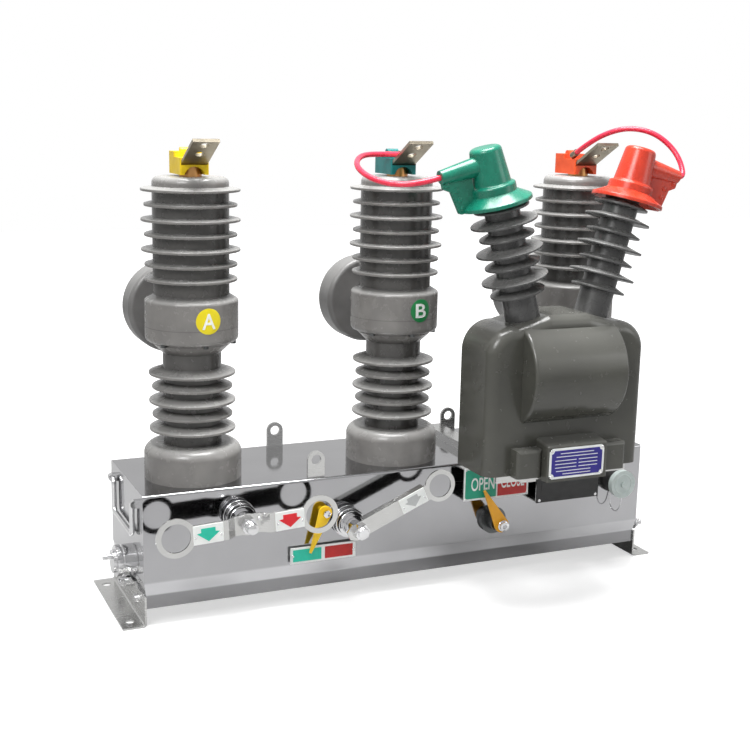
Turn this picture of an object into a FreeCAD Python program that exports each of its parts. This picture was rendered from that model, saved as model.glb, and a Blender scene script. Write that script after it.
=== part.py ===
"""Pole mounted recloser with its voltage transformer, as a parametric document.

Millimetres. +X runs along the housing box from phase A to phase C, the levers
face -Y, +Z is up and z = 0 is the underside of the feet. The origin is the
centre of the base. Each piece is a closed solid, or a group of closed solids.
"""
import FreeCAD, Part
import math
import os
import Sketcher
from FreeCAD import Placement, Rotation, Vector

# Sizes in millimetres and degrees. A place is measured from the face or level that it
# belongs to: along the box from its nearer end, the front controls from its front face
# and its roof, the lower half of a pole from the roof, the upper half from the joint
# between the halves, what sits on top from the cap, and the transformer from its seat
# on the bed plate.
SIZES = {
    # Housing box of folded stainless sheet, and its bottom cover
    "box_length": 884, "box_depth": 214, "box_bottom": 28, "box_top": 206, "wall": 2.5,
    "box_fold": 4, "joggle": 3.5, "joggle_low": 50, "joggle_high": 70,
    "cover_gap": 0.3, "cover_lip": 12,
    # Feet and their bolts
    "foot_sheet": 3, "foot_reach": 36.5, "foot_leg": 48, "foot_bend": 3,
    "foot_hole_r": 7, "foot_hole_inset": 16, "foot_hole_half": 82,
    "foot_bolt_r": 4, "foot_bolt_half": 60, "foot_bolt_z": 30, "foot_head_r": 7, "foot_head": 5,
    # Lifting lugs
    "lug_width": 28, "lug_sheet": 5, "lug_height": 42, "lug_hole_r": 8, "lug_x": -277,
    "lug_inset": 10,
    # Bail handles at the ends
    "bail_half": 62, "bail_leg": 52, "bail_rod_r": 4, "bail_z": -20, "bail_gap": 2,
    "bail_bend": 8, "ear_width": 10, "ear_sheet": 2, "ear_run": 0.08, "ear_clear": 0.3,
    # Upper halves of the poles
    "pole_inset": 102, "pole_y": -18, "joint_z": 214, "cap_top": 248, "cap_round": 10,
    "column_r": 57.5, "housing_r": 71, "housing_round": 8, "housing_top": 64,
    "shoulder_rise": 8, "shoulder_round": 5, "cavity_r": 42, "cavity_top": -20,
    "stem_r": 17, "stem_gap": 0.3,
    "shed_pitch": 22.3, "shed_first": -19.5, "shed_big_r": 74.5,
    "shed_small_r": 69.8, "shed_rise": 5, "shed_root": 4, "shed_edge": 2, "shed_tip": 1.6,
    # Lower halves of the poles
    "flange_r": 60, "flange_height": 3, "flange_slope": 15, "neck_r": 44.6, "rod_bore_r": 30,
    "low_shed_pitch": 21.8, "low_shed_first": -49.5,
    "low_shed_big_r": 66.2, "low_shed_small_r": 61.5, "low_shed_rise": 9,
    "base_r": 75.2, "base_shoulder": 55, "base_round": 17, "base_bore_r": 60, "base_roof": 12,
    "pole_opening_r": 40,
    # Rear arm, load side bar and the terminal pads
    "arm_r": 32.5, "arm_start": 50, "arm_end": 106, "tube_r": 21.7, "tube_end": 164,
    "bar_bore_r": 12.5, "out_z": 33, "out_r": 12.2, "clamp_r": 30, "clamp_half": 9,
    "pad_width": 40, "pad_sheet": 5, "pad_out": 66, "pad_hole_r": 7, "pad_hole_pitch": 28,
    "pad_hole_end": 12, "bar_lap": 4,
    # Vacuum bottles
    "bottle_r": 38, "bottle_low": 72, "bottle_high": -40, "bottle_end_r": 30, "bottle_end": 6,
    "guide_r": 16, "guide_low": 50, "guide_depth": 34,
    # Top terminals
    "top_bar_z": 18, "top_bar_back": 34, "top_bar_bend": 22, "pad_slope": 28,
    "top_pad_length": 74, "stem_low": -34,
    # Ring current transformers
    "ct_r": 72.5, "ct_thick": 52, "ct_gap": 0.3, "ct_round": 8,
    # Terminal covers and the cable lugs on two of them
    "cover_width": 44, "cover_front": 24.5, "cover_back": 40, "cover_low": 3,
    "cover_step": 8, "cover_high": 28, "cover_ridge": 10, "cover_fit": 0.3,
    "cover_arch_r": 16, "cover_arch_drop": 4, "cover_round": 2.5, "nub_r": 6,
    "nub_length": 19, "nub_back": 22,
    "lug_barrel_r": 6, "lug_barrel": 14, "lug_barrel_x": 10, "lug_off_b": 14, "lug_off_c": 6,
    "lug_side": 16, "lug_tilt": 63.435,
    # Main shaft, cranks and insulating rods
    "shaft_y": 12, "shaft_z": 120, "shaft_r": 12.5, "shaft_gap": 37.5, "shaft_run": 0.05,
    "bearing_flange_r": 30, "bearing_flange": 5, "bearing_r": 20, "bearing_cover": 16,
    "bearing_play": 0.5,
    "crank_reach": 30, "crank_rest": 10, "crank_sheet": 8, "crank_hub_r": 20,
    "crank_eye_r": 10, "crank_pin_r": 5, "crank_pin_inset": 1,
    "fork_width": 30, "fork_depth": 26, "fork_low": -20, "fork_high": 26, "fork_slot": 9,
    "fork_room": 4, "fork_play": 0.2, "fork_slide": 1.6, "rod_r": 13, "rod_top": 9,
    "contact_r": 9, "contact_run": 0.05, "contact_top": 66,
    # Lever bearings and spindles
    "lever_y": -59, "lever_sheet": 3, "boss_flange_r": 22, "boss_flange": 5, "boss_r": 16,
    "boss_end": -34, "spindle_r": 8, "spindle_end": -73, "nut_r": 13, "nut_thick": 9,
    "collar_run": 0.6, "panel_hole_r": 12, "spindle_tail": 45, "tail_hub_r": 14,
    "tail_thick": 10, "tail_reach": 34,
    # Manual lever
    "manual_x": 146, "manual_z": -44, "manual_reach": 111.7, "manual_tilt": 3, "ring_r": 30,
    "ring_hole_r": 22, "arm_width": 30, "manual_hub_r": 16.8, "manual_jog": 9,
    "manual_hub_half": 20, "jog_run": 12,
    # Charging lever
    "charge_x": 324.5, "charge_z": -72, "charge_reach": 148.5, "charge_tilt": 22.9,
    "charge_ring_r": 26, "charge_ring_hole_r": 19, "charge_width": 26, "charge_lip": 14,
    "charge_heel": 20,
    # Charge pointer and its plate
    "flag_x": 285, "flag_z": -53, "flag_reach": 68, "flag_angle": -111, "flag_y": -14,
    "flag_hub_r": 11, "flag_sheet": 3, "flag_spindle_r": 4, "flag_tip": 3,
    "plate_x": 285, "plate_z": -120.5, "plate_length": 110, "plate_height": 25.5,
    "plate_sheet": 2, "plate_off": 5, "plate_post_r": 3, "plate_post_inset": 5,
    # Position pointer
    "dial_x": -294, "dial_z": -102, "dial_reach": 70.7, "dial_angle": 119, "dial_y": -36,
    "dial_hub_r": 12.5, "dial_sheet": 4, "dial_tip": 3, "dial_spindle_r": 7,
    "dial_flange_r": 23, "dial_flange": 8, "dial_boss_r": 15, "dial_boss_end": -27,
    "dial_hole_play": 1,
    # Sign and nameplate on their brackets
    "sign_y": -26, "sign_sheet": 2, "sign_x": -301.5, "sign_length": 120, "sign_low": -57,
    "sign_height": 55, "name_x": -163, "name_length": 122, "name_low": -75, "name_height": 62,
    "bracket_sheet": 2, "bracket_inset": 1,
    # Control socket and its cap
    "socket_x": -61, "socket_z": -55, "socket_r": 19, "socket_flange_r": 22,
    "socket_flange": 4, "socket_end": -34, "socket_wall": 3, "socket_well": 20,
    "socket_tail_r": 14, "socket_tail": 17, "cap_r": 24, "cap_front": -41, "cap_lap": 3,
    "cap_fit": 0.15, "cap_nub_r": 5, "cap_nub": 3,
    # Trip fitting and ground bolts at the ends
    "trip_y": 0, "trip_z": 72, "trip_r": 25, "trip_flange": 9, "trip_waist_r": 22,
    "trip_waist": 3, "trip_drum": 8, "trip_nose_r": 18, "trip_nose": 5, "trip_rise": 8,
    "trip_rod_r": 4, "trip_out": 39, "trip_run": 0.08, "trip_tail": 30, "trip_hole_play": 1,
    "ground_z": 37, "ground_r": 5, "ground_out": 16, "ground_head_r": 8.5, "ground_head": 6,
    # Body of the voltage transformer
    "vt_x": -250, "vt_half": 140, "vt_back": 160, "vt_depth": 92,
    "vt_side": 231, "vt_ledge": 4, "vt_run": 54, "vt_tilt": 15, "vt_corner": 46,
    "vt_round": 18, "bulge_half": 83, "bulge_r": 82.7, "bulge_out": 42, "bulge_root": 5,
    "bulge_z": 154, "bulge_round": 5, "block_x": 76, "block_half": 22, "block_out": 22,
    "block_height": 44, "block_round": 6,
    # Secondary terminal box
    "tank_half": 54, "tank_out": 37, "tank_low": -5, "tank_front_top": 52,
    "tank_back_top": 57, "tank_round": 4,
    # Rails and bed plate under the transformer
    "rail_half": 14, "rail_height": 14, "rail_x": 56, "rail_back": 98, "rail_front": 238,
    "bed_sheet": 4, "bed_half": 118, "bed_front": 246, "bed_back": 152, "bed_lip": 8,
    # Bushings
    "seat_inset": 28, "bush_y": 208, "bush_r": 27, "bush_first": 41.5,
    "bush_pitch": 22.2, "bush_big_r": 51.5, "bush_small_r": 42.4, "bush_rise": 8,
    "bush_root": 3, "bush_edge": 1.6, "bush_tip": 1.2, "bush_head": 190, "bush_head_r": 22,
    "stud_r": 8, "stud_top": 232,
    # Rubber hoods
    "hood_shift": 8, "hood_fit": 0.3, "hood_skirt_r": 56, "hood_skirt": 183, "hood_rim": 5,
    "hood_rim_round": 2, "hood_collar_r": 35.5, "hood_collar": 200, "hood_collar_round": 4,
    "hood_step": 213, "hood_step_round": 3, "hood_barrel_r": 29.5, "hood_top_r": 23.8,
    "hood_crown": 269, "hood_crown_round": 7, "hood_wall": 3.2,
    "horn_z": 244, "horn_r": 15.5, "horn_mouth_r": 10.5, "horn_reach": 81, "horn_sunk": 6,
    "flap_sheet": 8, "flap_foot": 62.5, "flap_waist": 69.5, "flap_shelf": 219,
    "flap_lip": 226, "flap_round": 4,
    # Leads
    "lead_r": 4.3, "lanyard_r": 0.8,
}

# Routes of the free leads: corner points from the first end to the other.
LEAD_B = [(-4.2, -32, 702), (-44, -33, 703), (-84, -60, 701), (-110, -105, 688),
          (-108, -148, 673), (-85, -182, 664), (-49.1, -208, 667.1), (-10.4, -208, 677.5)]
LEAD_C = [(324, -36.8, 707.7), (324, -64.3, 721.5), (337, -100, 741), (362, -128, 751),
          (393, -153, 744), (416, -172, 722), (423, -190, 697), (416, -208, 671.7),
          (394.4, -208, 677.5)]
LANYARD = [(381, -109, 128.7), (380, -111, 113), (379, -119, 101), (379, -131, 97.5),
           (380, -141, 106), (381, -144, 117), (381, -144, 126.7)]

doc = FreeCAD.newDocument("recloser")
sheet = doc.addObject("Spreadsheet::Sheet", "sizes")
nodes = {}


class Size:
    """A number together with the formula that gives it from the sheet."""

    def __init__(self, value, text):
        self.value = float(value)
        self.text = text

    def __add__(self, other):
        other = size(other)
        return Size(self.value + other.value, f"({self.text} + {other.text})")

    def __sub__(self, other):
        other = size(other)
        return Size(self.value - other.value, f"({self.text} - {other.text})")

    def __mul__(self, other):
        other = size(other)
        return Size(self.value * other.value, f"({self.text} * {other.text})")

    def __truediv__(self, other):
        other = size(other)
        return Size(self.value / other.value, f"({self.text} / {other.text})")

    def __radd__(self, other):
        return size(other) + self

    def __rsub__(self, other):
        return size(other) - self

    def __rmul__(self, other):
        return size(other) * self

    def __neg__(self):
        return Size(-self.value, f"(0 - {self.text})")


def size(value):
    """A plain number as a Size."""
    return value if isinstance(value, Size) else Size(value, f"({float(value)})")


def sine(angle):
    """Sine of an angle in degrees."""
    angle = size(angle)
    return Size(math.sin(math.radians(angle.value)), f"sin({angle.text})")


def cosine(angle):
    """Cosine of an angle in degrees."""
    angle = size(angle)
    return Size(math.cos(math.radians(angle.value)), f"cos({angle.text})")


def whole(value):
    """How many times a pattern's step goes into its room."""
    return int(value.value)


class Table:
    """The driving sizes, each one a cell with an alias."""

    def __init__(self, values):
        for row, (name, value) in enumerate(values.items(), 1):
            sheet.set(f"A{row}", name)
            sheet.set(f"B{row}", str(value))
            sheet.setAlias(f"B{row}", name)
            setattr(self, name, Size(value, f"sizes.{name}"))


class Datum:
    """Reads a size as a place, measured from one face or level."""

    def __init__(self, origin):
        self.origin = origin

    def __getattr__(self, name):
        return self.origin + getattr(s, name)


s = Table(SIZES)
FACE = Datum(-s.box_depth / 2)
START = Datum(-s.box_length / 2)
END = Datum(s.box_length / 2)
ROOF = Datum(s.box_top)
SHAFT = Datum(s.shaft_z)
JOINT = Datum(ROOF.joint_z)
CAP = Datum(JOINT.cap_top)
SEAT = Datum(s.box_top + s.rail_height + s.bed_sheet)
PITCH = s.box_length / 2 - s.pole_inset
SHAFT_HALF = s.box_length / 2 - s.wall - s.shaft_gap
SHOULDER = s.vt_half - s.vt_corner - s.vt_ledge
CREST = SHOULDER - s.vt_run
SEAT_X = SHOULDER - s.seat_inset


def bind(item, values):
    """Tie each property of an object to its size."""
    for path, value in values.items():
        item.setExpression(path, size(value).text)
    return item


def at(item, x, y, z):
    """Tie an object's place to sizes."""
    return bind(item, {"Placement.Base.x": x, "Placement.Base.y": y, "Placement.Base.z": z})


TURNS = {"Z": Rotation(), "X": Rotation(Vector(0, 1, 0), 90), "-X": Rotation(Vector(0, 1, 0), -90),
         "Y": Rotation(Vector(1, 0, 0), -90), "-Y": Rotation(Vector(1, 0, 0), 90)}


def box(name, spans):
    """A block from its low and high sizes along X, Y and Z."""
    item = doc.addObject("Part::Box", name)
    (x0, x1), (y0, y1), (z0, z1) = spans
    bind(item, {"Length": size(x1) - x0, "Width": size(y1) - y0, "Height": size(z1) - z0})
    return at(item, x0, y0, z0)


def cylinder(name, radius, length, start, axis="Z"):
    """A round bar that starts at a point and runs along an axis."""
    item = doc.addObject("Part::Cylinder", name)
    item.Placement = Placement(Vector(), TURNS[axis])
    bind(item, {"Radius": radius, "Height": length})
    return at(item, *start)


def cone(name, radius1, radius2, length, start, axis="Z"):
    """A tapered bar that starts at a point and runs along an axis."""
    item = doc.addObject("Part::Cone", name)
    item.Placement = Placement(Vector(), TURNS[axis])
    bind(item, {"Radius1": radius1, "Radius2": radius2, "Height": length})
    return at(item, *start)


def fuse(name, *pieces):
    item = doc.addObject("Part::MultiFuse", name)
    item.Shapes = list(pieces)
    return item


def cut(name, base, *tools):
    item = doc.addObject("Part::Cut", name)
    item.Base = base
    item.Tool = tools[0] if len(tools) == 1 else fuse(name + "_tools", *tools)
    return item


def common(name, *pieces):
    item = doc.addObject("Part::MultiCommon", name)
    item.Shapes = list(pieces)
    return item


def group(name, *pieces):
    item = doc.addObject("Part::Compound", name)
    item.Links = list(pieces)
    return item


def placed(name, piece, x=0, y=0, z=0):
    """The same piece again at another place."""
    return at(group(name, piece), x, y, z)


def mirrored(name, piece):
    """The same piece on the other side of the YZ plane."""
    item = doc.addObject("Part::Mirroring", name)
    item.Source = piece
    item.Normal = Vector(1, 0, 0)
    return item


def node(name, item):
    """Name a finished sub-part."""
    item.Label = name
    nodes[name] = item
    return item


def round_edges(name, piece, radius, chosen):
    """Round the edges of a finished piece that a test picks."""
    doc.recompute()
    item = doc.addObject("Part::Fillet", name)
    item.Base = piece
    picked = [i + 1 for i, edge in enumerate(piece.Shape.Edges) if chosen(edge)]
    item.Edges = [(i, size(radius).value, size(radius).value) for i in picked]
    return item


def plane_of(body, role):
    """One of a body's own origin planes."""
    return [f for f in body.Origin.OriginFeatures if f.Role == role][0]


def outline(body, name, role, points, lift=0):
    """A closed sketch of straight runs, each corner tied to its two sizes."""
    sketch = body.newObject("Sketcher::SketchObject", name)
    sketch.AttachmentSupport = [(plane_of(body, role), "")]
    sketch.MapMode = "FlatFace"
    bind(sketch, {"AttachmentOffset.Base.z": lift})
    corners = [(size(u), size(v)) for u, v in points]
    spots = [Vector(u.value, v.value, 0) for u, v in corners]
    count = len(spots)
    for i in range(count):
        sketch.addGeometry(Part.LineSegment(spots[i], spots[(i + 1) % count]), False)
    for i in range(count):
        sketch.addConstraint(Sketcher.Constraint("Coincident", i, 2, (i + 1) % count, 1))
    for i, (u, v) in enumerate(corners):
        for kind, value in (("DistanceX", u), ("DistanceY", v)):
            number = sketch.addConstraint(Sketcher.Constraint(kind, -1, 1, i, 1, value.value))
            sketch.setExpression(f"Constraints[{number}]", value.text)
    return sketch


def new_body(name):
    return doc.addObject("PartDesign::Body", name)


def pad(body, sketch, length, name, reversed_=False, middle=False):
    """Raise a sketch into a solid."""
    item = body.newObject("PartDesign::Pad", name)
    item.Profile = sketch
    item.Reversed = reversed_
    item.Midplane = middle
    return bind(item, {"Length": length})


def turn(body, sketch, name):
    """Turn a sketch round its own vertical axis."""
    item = body.newObject("PartDesign::Revolution", name)
    item.Profile = sketch
    item.ReferenceAxis = (sketch, ["V_Axis"])
    item.Angle = 360
    return item


def soften(body, radius, name, chosen):
    """Round the edges of a body's last feature that a test picks."""
    doc.recompute()
    last = body.Tip
    picked = [f"Edge{i + 1}" for i, edge in enumerate(last.Shape.Edges) if chosen(edge)]
    item = body.newObject("PartDesign::Fillet", name)
    item.Base = (last, picked)
    return bind(item, {"Radius": radius})


def near(a, b, slack=0.01):
    return abs(a - size(b).value) < slack


def round_edge(edge, *radii):
    """True for an edge that is a circle or arc of one of these radii."""
    return hasattr(edge.Curve, "Radius") and any(near(edge.Curve.Radius, r) for r in radii)


def ring_edge(edge, radius, z):
    """True for a level circle of this radius at this height."""
    return round_edge(edge, radius) and near(edge.CenterOfMass.z, z)


def sheds(count, first, pitch, core, big, small, rise, root, edge, last_small=True):
    """Corner points of a stack of sheds from the top one down, in radius and height."""
    points = []
    for i in range(count):
        tip = first - pitch * i
        lowest_pair = last_small and i == count - 1
        radius = big if i % 2 == 0 and not lowest_pair else small
        points += [(core, tip + rise), (radius, tip + edge), (radius, tip - edge), (core, tip - root)]
    return points


# Housing box
def make_enclosure():
    body = new_body("enclosure_body")
    low_half = (s.box_length / 2 - s.joggle, s.box_depth / 2 - s.joggle)
    high_half = (s.box_length / 2, s.box_depth / 2)

    def rectangle(name, half, lift):
        a, b = half
        return outline(body, name, "XY_Plane", [(-a, -b), (a, -b), (a, b), (-a, b)], lift)

    upper = rectangle("box_outline", high_half, s.joggle_high)
    pad(body, upper, s.box_top - s.joggle_high, "box_walls")
    lower = rectangle("band_outline", low_half, s.joggle_low)
    fold = body.newObject("PartDesign::AdditiveLoft", "box_joggle")
    fold.Profile = lower
    fold.Sections = [upper]
    pad(body, lower, s.joggle_low - s.box_bottom, "box_band", reversed_=True)
    soften(body, s.box_fold, "box_folds", lambda e: near(e.CenterOfMass.z, s.box_top)
           and near(abs(e.CenterOfMass.y), s.box_depth / 2))
    doc.recompute()
    base = body.Tip
    floor = [f"Face{i + 1}" for i, face in enumerate(base.Shape.Faces)
             if near(face.CenterOfMass.z, s.box_bottom)]
    shell = body.newObject("PartDesign::Thickness", "box_shell")
    shell.Base = (base, floor)
    shell.Mode = "Skin"
    shell.Join = "Intersection"
    shell.Reversed = True
    bind(shell, {"Value": s.wall})
    front = -s.box_depth / 2
    through = s.wall * 2

    def front_hole(name, radius, x, z):
        return cylinder(name, radius, through, (x, front - s.wall / 2, z), "Y")

    holes = [cylinder(f"pole_hole_{i}", s.pole_opening_r, through,
                      (PITCH * i, s.pole_y, s.box_top - s.wall * 1.5)) for i in (-1, 0, 1)]
    holes += [front_hole("manual_hole", s.panel_hole_r, START.manual_x, ROOF.manual_z),
              front_hole("charge_hole", s.panel_hole_r, START.charge_x, ROOF.charge_z),
              front_hole("flag_hole", s.flag_spindle_r + s.shaft_run, START.flag_x, ROOF.flag_z),
              front_hole("dial_hole", s.dial_spindle_r + s.dial_hole_play, END.dial_x, ROOF.dial_z),
              front_hole("socket_hole", s.socket_tail_r + s.cover_gap, END.socket_x, ROOF.socket_z),
              *[cylinder(f"band_hole_{i}_{j}", s.foot_bolt_r + s.cover_gap, through * 2,
                         ((s.box_length / 2 - s.joggle) * i - s.wall * 2, s.foot_bolt_half * j,
                           s.foot_bolt_z), "X") for i in (-1, 1) for j in (-1, 1)],
              cylinder("trip_hole", s.trip_rod_r + s.trip_hole_play, through,
                       (-s.box_length / 2 - s.wall / 2, s.trip_y, s.trip_z + s.trip_rise), "X")]
    return node("base_enclosure", cut("enclosure", body, *holes))


def make_bottom_cover():
    half_x = s.box_length / 2 - s.joggle - s.wall - s.cover_gap
    half_y = s.box_depth / 2 - s.joggle - s.wall - s.cover_gap
    outer = box("cover_outer", ((-half_x, half_x), (-half_y, half_y),
                                (s.box_bottom, s.box_bottom + s.cover_lip)))
    inner = box("cover_inner", ((s.wall - half_x, half_x - s.wall), (s.wall - half_y, half_y - s.wall),
                                (s.box_bottom + s.wall, s.box_bottom + s.cover_lip * 2)))
    return node("bottom_cover", cut("cover_pan", outer, inner))


def make_feet():
    body = new_body("foot_body")
    face = s.joggle - s.box_length / 2
    out = face - s.foot_reach
    skin = face - s.foot_sheet
    points = [(out, 0), (face, 0), (face, s.foot_leg), (skin, s.foot_leg),
              (skin, s.foot_sheet), (out, s.foot_sheet)]
    profile = outline(body, "foot_profile", "XZ_Plane", points)
    pad(body, profile, s.box_depth, "foot_angle", middle=True)
    soften(body, s.foot_bend, "foot_inner_bend",
           lambda e: near(e.CenterOfMass.x, skin) and near(e.CenterOfMass.z, s.foot_sheet))
    soften(body, s.foot_bend + s.foot_sheet, "foot_outer_bend",
           lambda e: near(e.CenterOfMass.x, face) and near(e.CenterOfMass.z, 0)
           and near(e.CenterOfMass.y, 0))
    holes = [cylinder(f"foot_hole_{i}", s.foot_hole_r, s.foot_sheet * 3,
                      (out + s.foot_hole_inset, s.foot_hole_half * i, -s.foot_sheet)) for i in (-1, 1)]
    holes += [cylinder(f"foot_bolt_hole_{i}", s.foot_bolt_r + s.cover_gap, s.foot_sheet * 3,
                       (skin - s.foot_sheet, s.foot_bolt_half * i, s.foot_bolt_z), "X") for i in (-1, 1)]
    left = node("foot_left", cut("foot", body, *holes))
    node("foot_right", mirrored("foot_mirror", left))


def make_lugs():
    half = s.lug_width / 2
    plate = box("lug_plate", ((-half, half), (-s.lug_sheet / 2, s.lug_sheet / 2),
                              (0, s.lug_height - half)))
    crown = cylinder("lug_crown", half, s.lug_sheet, (0, -s.lug_sheet / 2, s.lug_height - half), "Y")
    hole = cylinder("lug_hole", s.lug_hole_r, s.lug_sheet * 2,
                    (0, -s.lug_sheet, s.lug_height - half), "Y")
    lug = cut("lug", fuse("lug_blank", plate, crown), hole)
    y = s.box_depth / 2 - s.lug_inset
    copies = [placed(f"lug_{i}_{j}", lug, END.lug_x * i, y * j, s.box_top)
              for i in (-1, 1) for j in (-1, 1)]
    node("lifting_lugs", group("lugs", *copies))


# Poles
def per_phase(name, piece):
    """One node for each phase, made from the middle one."""
    for letter, i in (("a", -1), ("b", 0), ("c", 1)):
        node(f"{name}_{letter}", placed(f"{name}_{letter}_place", piece, PITCH * i, s.pole_y))


def all_phases(name, piece):
    """One node that groups the pieces of the three phases."""
    copies = [placed(f"{name}_{i}", piece, PITCH * i, s.pole_y) for i in (-1, 0, 1)]
    return node(name, group(f"{name}_set", *copies))


def make_pole_upper():
    body = new_body("pole_upper_body")
    stem_bore = s.stem_r + s.stem_gap
    points = [(stem_bore, JOINT.cap_top), (s.column_r, JOINT.cap_top)]
    low = JOINT.housing_top + s.shoulder_rise
    points += sheds(whole((CAP.shed_first - low) / s.shed_pitch), CAP.shed_first,
                    s.shed_pitch, s.column_r, s.shed_big_r, s.shed_small_r, s.shed_rise,
                    s.shed_root, s.shed_edge)
    points += [(s.column_r, low), (s.housing_r, JOINT.housing_top),
               (s.housing_r, ROOF.joint_z), (s.cavity_r, ROOF.joint_z), (s.cavity_r, CAP.cavity_top),
               (stem_bore, CAP.cavity_top)]
    turn(body, outline(body, "pole_upper_profile", "XZ_Plane", points), "pole_upper_turned")
    soften(body, s.cap_round, "pole_cap_round", lambda e: ring_edge(e, s.column_r, JOINT.cap_top))
    soften(body, s.shoulder_round, "housing_shoulder",
           lambda e: ring_edge(e, s.housing_r, JOINT.housing_top))
    soften(body, s.housing_round, "housing_rim", lambda e: ring_edge(e, s.housing_r, ROOF.joint_z))
    soften(body, s.shed_tip, "upper_shed_tips",
           lambda e: round_edge(e, s.shed_big_r, s.shed_small_r))
    arm = cylinder("rear_arm", s.arm_r, s.arm_end - s.arm_start, (0, s.arm_start, JOINT.out_z), "Y")
    tube = cylinder("rear_tube", s.tube_r, s.tube_end - s.arm_start, (0, s.arm_start, JOINT.out_z), "Y")
    bore = cylinder("rear_bore", s.bar_bore_r, s.tube_end, (0, 1, JOINT.out_z), "Y")
    return cut("pole_upper", fuse("pole_upper_solid", body, arm, tube), bore)


def make_pole_lower():
    body = new_body("pole_lower_body")
    roof = ROOF.base_shoulder - s.base_roof
    points = [(s.rod_bore_r, ROOF.joint_z), (s.flange_r, ROOF.joint_z),
              (s.flange_r, ROOF.joint_z - s.flange_height),
              (s.neck_r, ROOF.joint_z - s.flange_height - s.flange_slope)]
    room = JOINT.low_shed_first - ROOF.base_shoulder
    points += sheds(whole(room / s.low_shed_pitch), JOINT.low_shed_first, s.low_shed_pitch, s.neck_r,
                    s.low_shed_big_r, s.low_shed_small_r, s.low_shed_rise, s.shed_root,
                    s.shed_edge, last_small=False)
    points += [(s.neck_r, ROOF.base_shoulder), (s.base_r, ROOF.base_shoulder), (s.base_r, s.box_top),
               (s.base_bore_r, s.box_top), (s.base_bore_r, roof), (s.rod_bore_r, roof)]
    turn(body, outline(body, "pole_lower_profile", "XZ_Plane", points), "pole_lower_turned")
    soften(body, s.base_round, "pole_base_round", lambda e: ring_edge(e, s.base_r, ROOF.base_shoulder))
    soften(body, s.shed_tip, "lower_shed_tips",
           lambda e: round_edge(e, s.low_shed_big_r, s.low_shed_small_r))
    return body


def make_interrupter():
    """Sealed vacuum bottle with a blind guide for the moving contact."""
    barrel = cylinder("bottle", s.bottle_r, CAP.bottle_high - JOINT.bottle_low, (0, 0, JOINT.bottle_low))
    low_end = cylinder("bottle_low_end", s.bottle_end_r, s.bottle_end,
                       (0, 0, JOINT.bottle_low - s.bottle_end))
    high_end = cylinder("bottle_high_end", s.bottle_end_r, CAP.stem_low - CAP.bottle_high,
                        (0, 0, CAP.bottle_high))
    guide = cylinder("bottle_guide", s.guide_r, JOINT.bottle_low - JOINT.guide_low, (0, 0, JOINT.guide_low))
    bore = cylinder("bottle_bore", s.contact_r + s.contact_run, s.guide_depth, (0, 0, JOINT.guide_low))
    return cut("interrupter", fuse("bottle_solid", barrel, low_end, high_end, guide), bore)


def make_top_terminal():
    """Stem, flat bar and the inclined pad with its two holes."""
    half = s.pad_width / 2
    high = CAP.top_bar_z + s.pad_sheet
    stem = cylinder("terminal_stem", s.stem_r, CAP.top_bar_z - CAP.stem_low, (0, 0, CAP.stem_low))
    bar = box("terminal_bar", ((-half, half), (-s.top_bar_bend, s.top_bar_back), (CAP.top_bar_z, high)))
    flat = box("terminal_pad", ((-half, half), (-s.top_pad_length, 0), (0, s.pad_sheet)))
    holes = [cylinder(f"terminal_hole_{i}", s.pad_hole_r, s.pad_sheet * 2,
                      (0, s.pad_hole_end + s.pad_hole_pitch * i - s.top_pad_length,
                       -s.pad_sheet / 2)) for i in (0, 1)]
    sloped = group("terminal_sloped", cut("terminal_drilled", flat, *holes))
    sloped.Placement = Placement(Vector(), Rotation(Vector(-1, 0, 0), 1))
    bind(sloped, {"Placement.Rotation.Angle": s.pad_slope})
    at(sloped, 0, -s.top_bar_bend, CAP.top_bar_z)
    return fuse("top_terminal", stem, bar, sloped)


def make_terminal_cover():
    """Moulded cover over the clamp, with its step, barrel and arched front."""
    half = s.cover_width / 2
    fit = s.cover_fit
    front = box("cover_front_block", ((-half, half), (-s.cover_front, s.cover_back),
                                      (CAP.cover_low, CAP.cover_high)))
    top = CAP.cover_high + s.cover_step
    step = box("cover_step_block", ((-half, half), (s.cover_ridge, s.cover_back),
                                    (CAP.cover_high, top)))
    moulding = round_edges("cover_moulding", fuse("cover_solid", front, step), s.cover_round,
                           lambda e: near(abs(e.CenterOfMass.x), half)
                           and near(abs(e.tangentAt(e.FirstParameter).z), 1))
    nub = cylinder("cover_nub", s.nub_r, s.nub_length, (-s.nub_length / 2, s.nub_back, top), "X")
    reach = s.pad_width / 2 + fit
    open_front = -s.cover_front - s.cover_round
    bar_slot = box("cover_bar_slot", ((-reach, reach), (open_front, s.top_bar_back + fit),
                                      (CAP.top_bar_z - fit, CAP.top_bar_z + s.pad_sheet + fit)))
    mouth = box("cover_mouth", ((-reach, reach), (open_front, s.pad_sheet / 2 - s.top_bar_bend),
                                (CAP.top_bar_z - fit, top)))
    stem_hole = cylinder("cover_stem_hole", s.stem_r + fit, CAP.top_bar_z - CAP.cover_low + fit,
                         (0, 0, CAP.cover_low - fit))
    arch = cylinder("cover_arch", s.cover_arch_r, -open_front,
                    (0, open_front, CAP.cover_low - s.cover_arch_drop), "Y")
    return cut("terminal_cover", fuse("cover_body", moulding, nub), bar_slot, mouth, stem_hole, arch)


def make_transformer():
    """Ring current transformer round the outgoing conductor."""
    ring = cylinder("ct_ring", s.ct_r, s.ct_thick, (0, s.arm_end, JOINT.out_z), "Y")
    bore = cylinder("ct_bore", s.tube_r + s.ct_gap, s.ct_thick * 2,
                    (0, s.arm_end - s.ct_thick / 2, JOINT.out_z), "Y")
    return round_edges("ct_rounded", cut("ct", ring, bore), s.ct_round,
                       lambda e: hasattr(e.Curve, "Radius") and near(e.Curve.Radius, s.ct_r)
                       and e.Closed)


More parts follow.
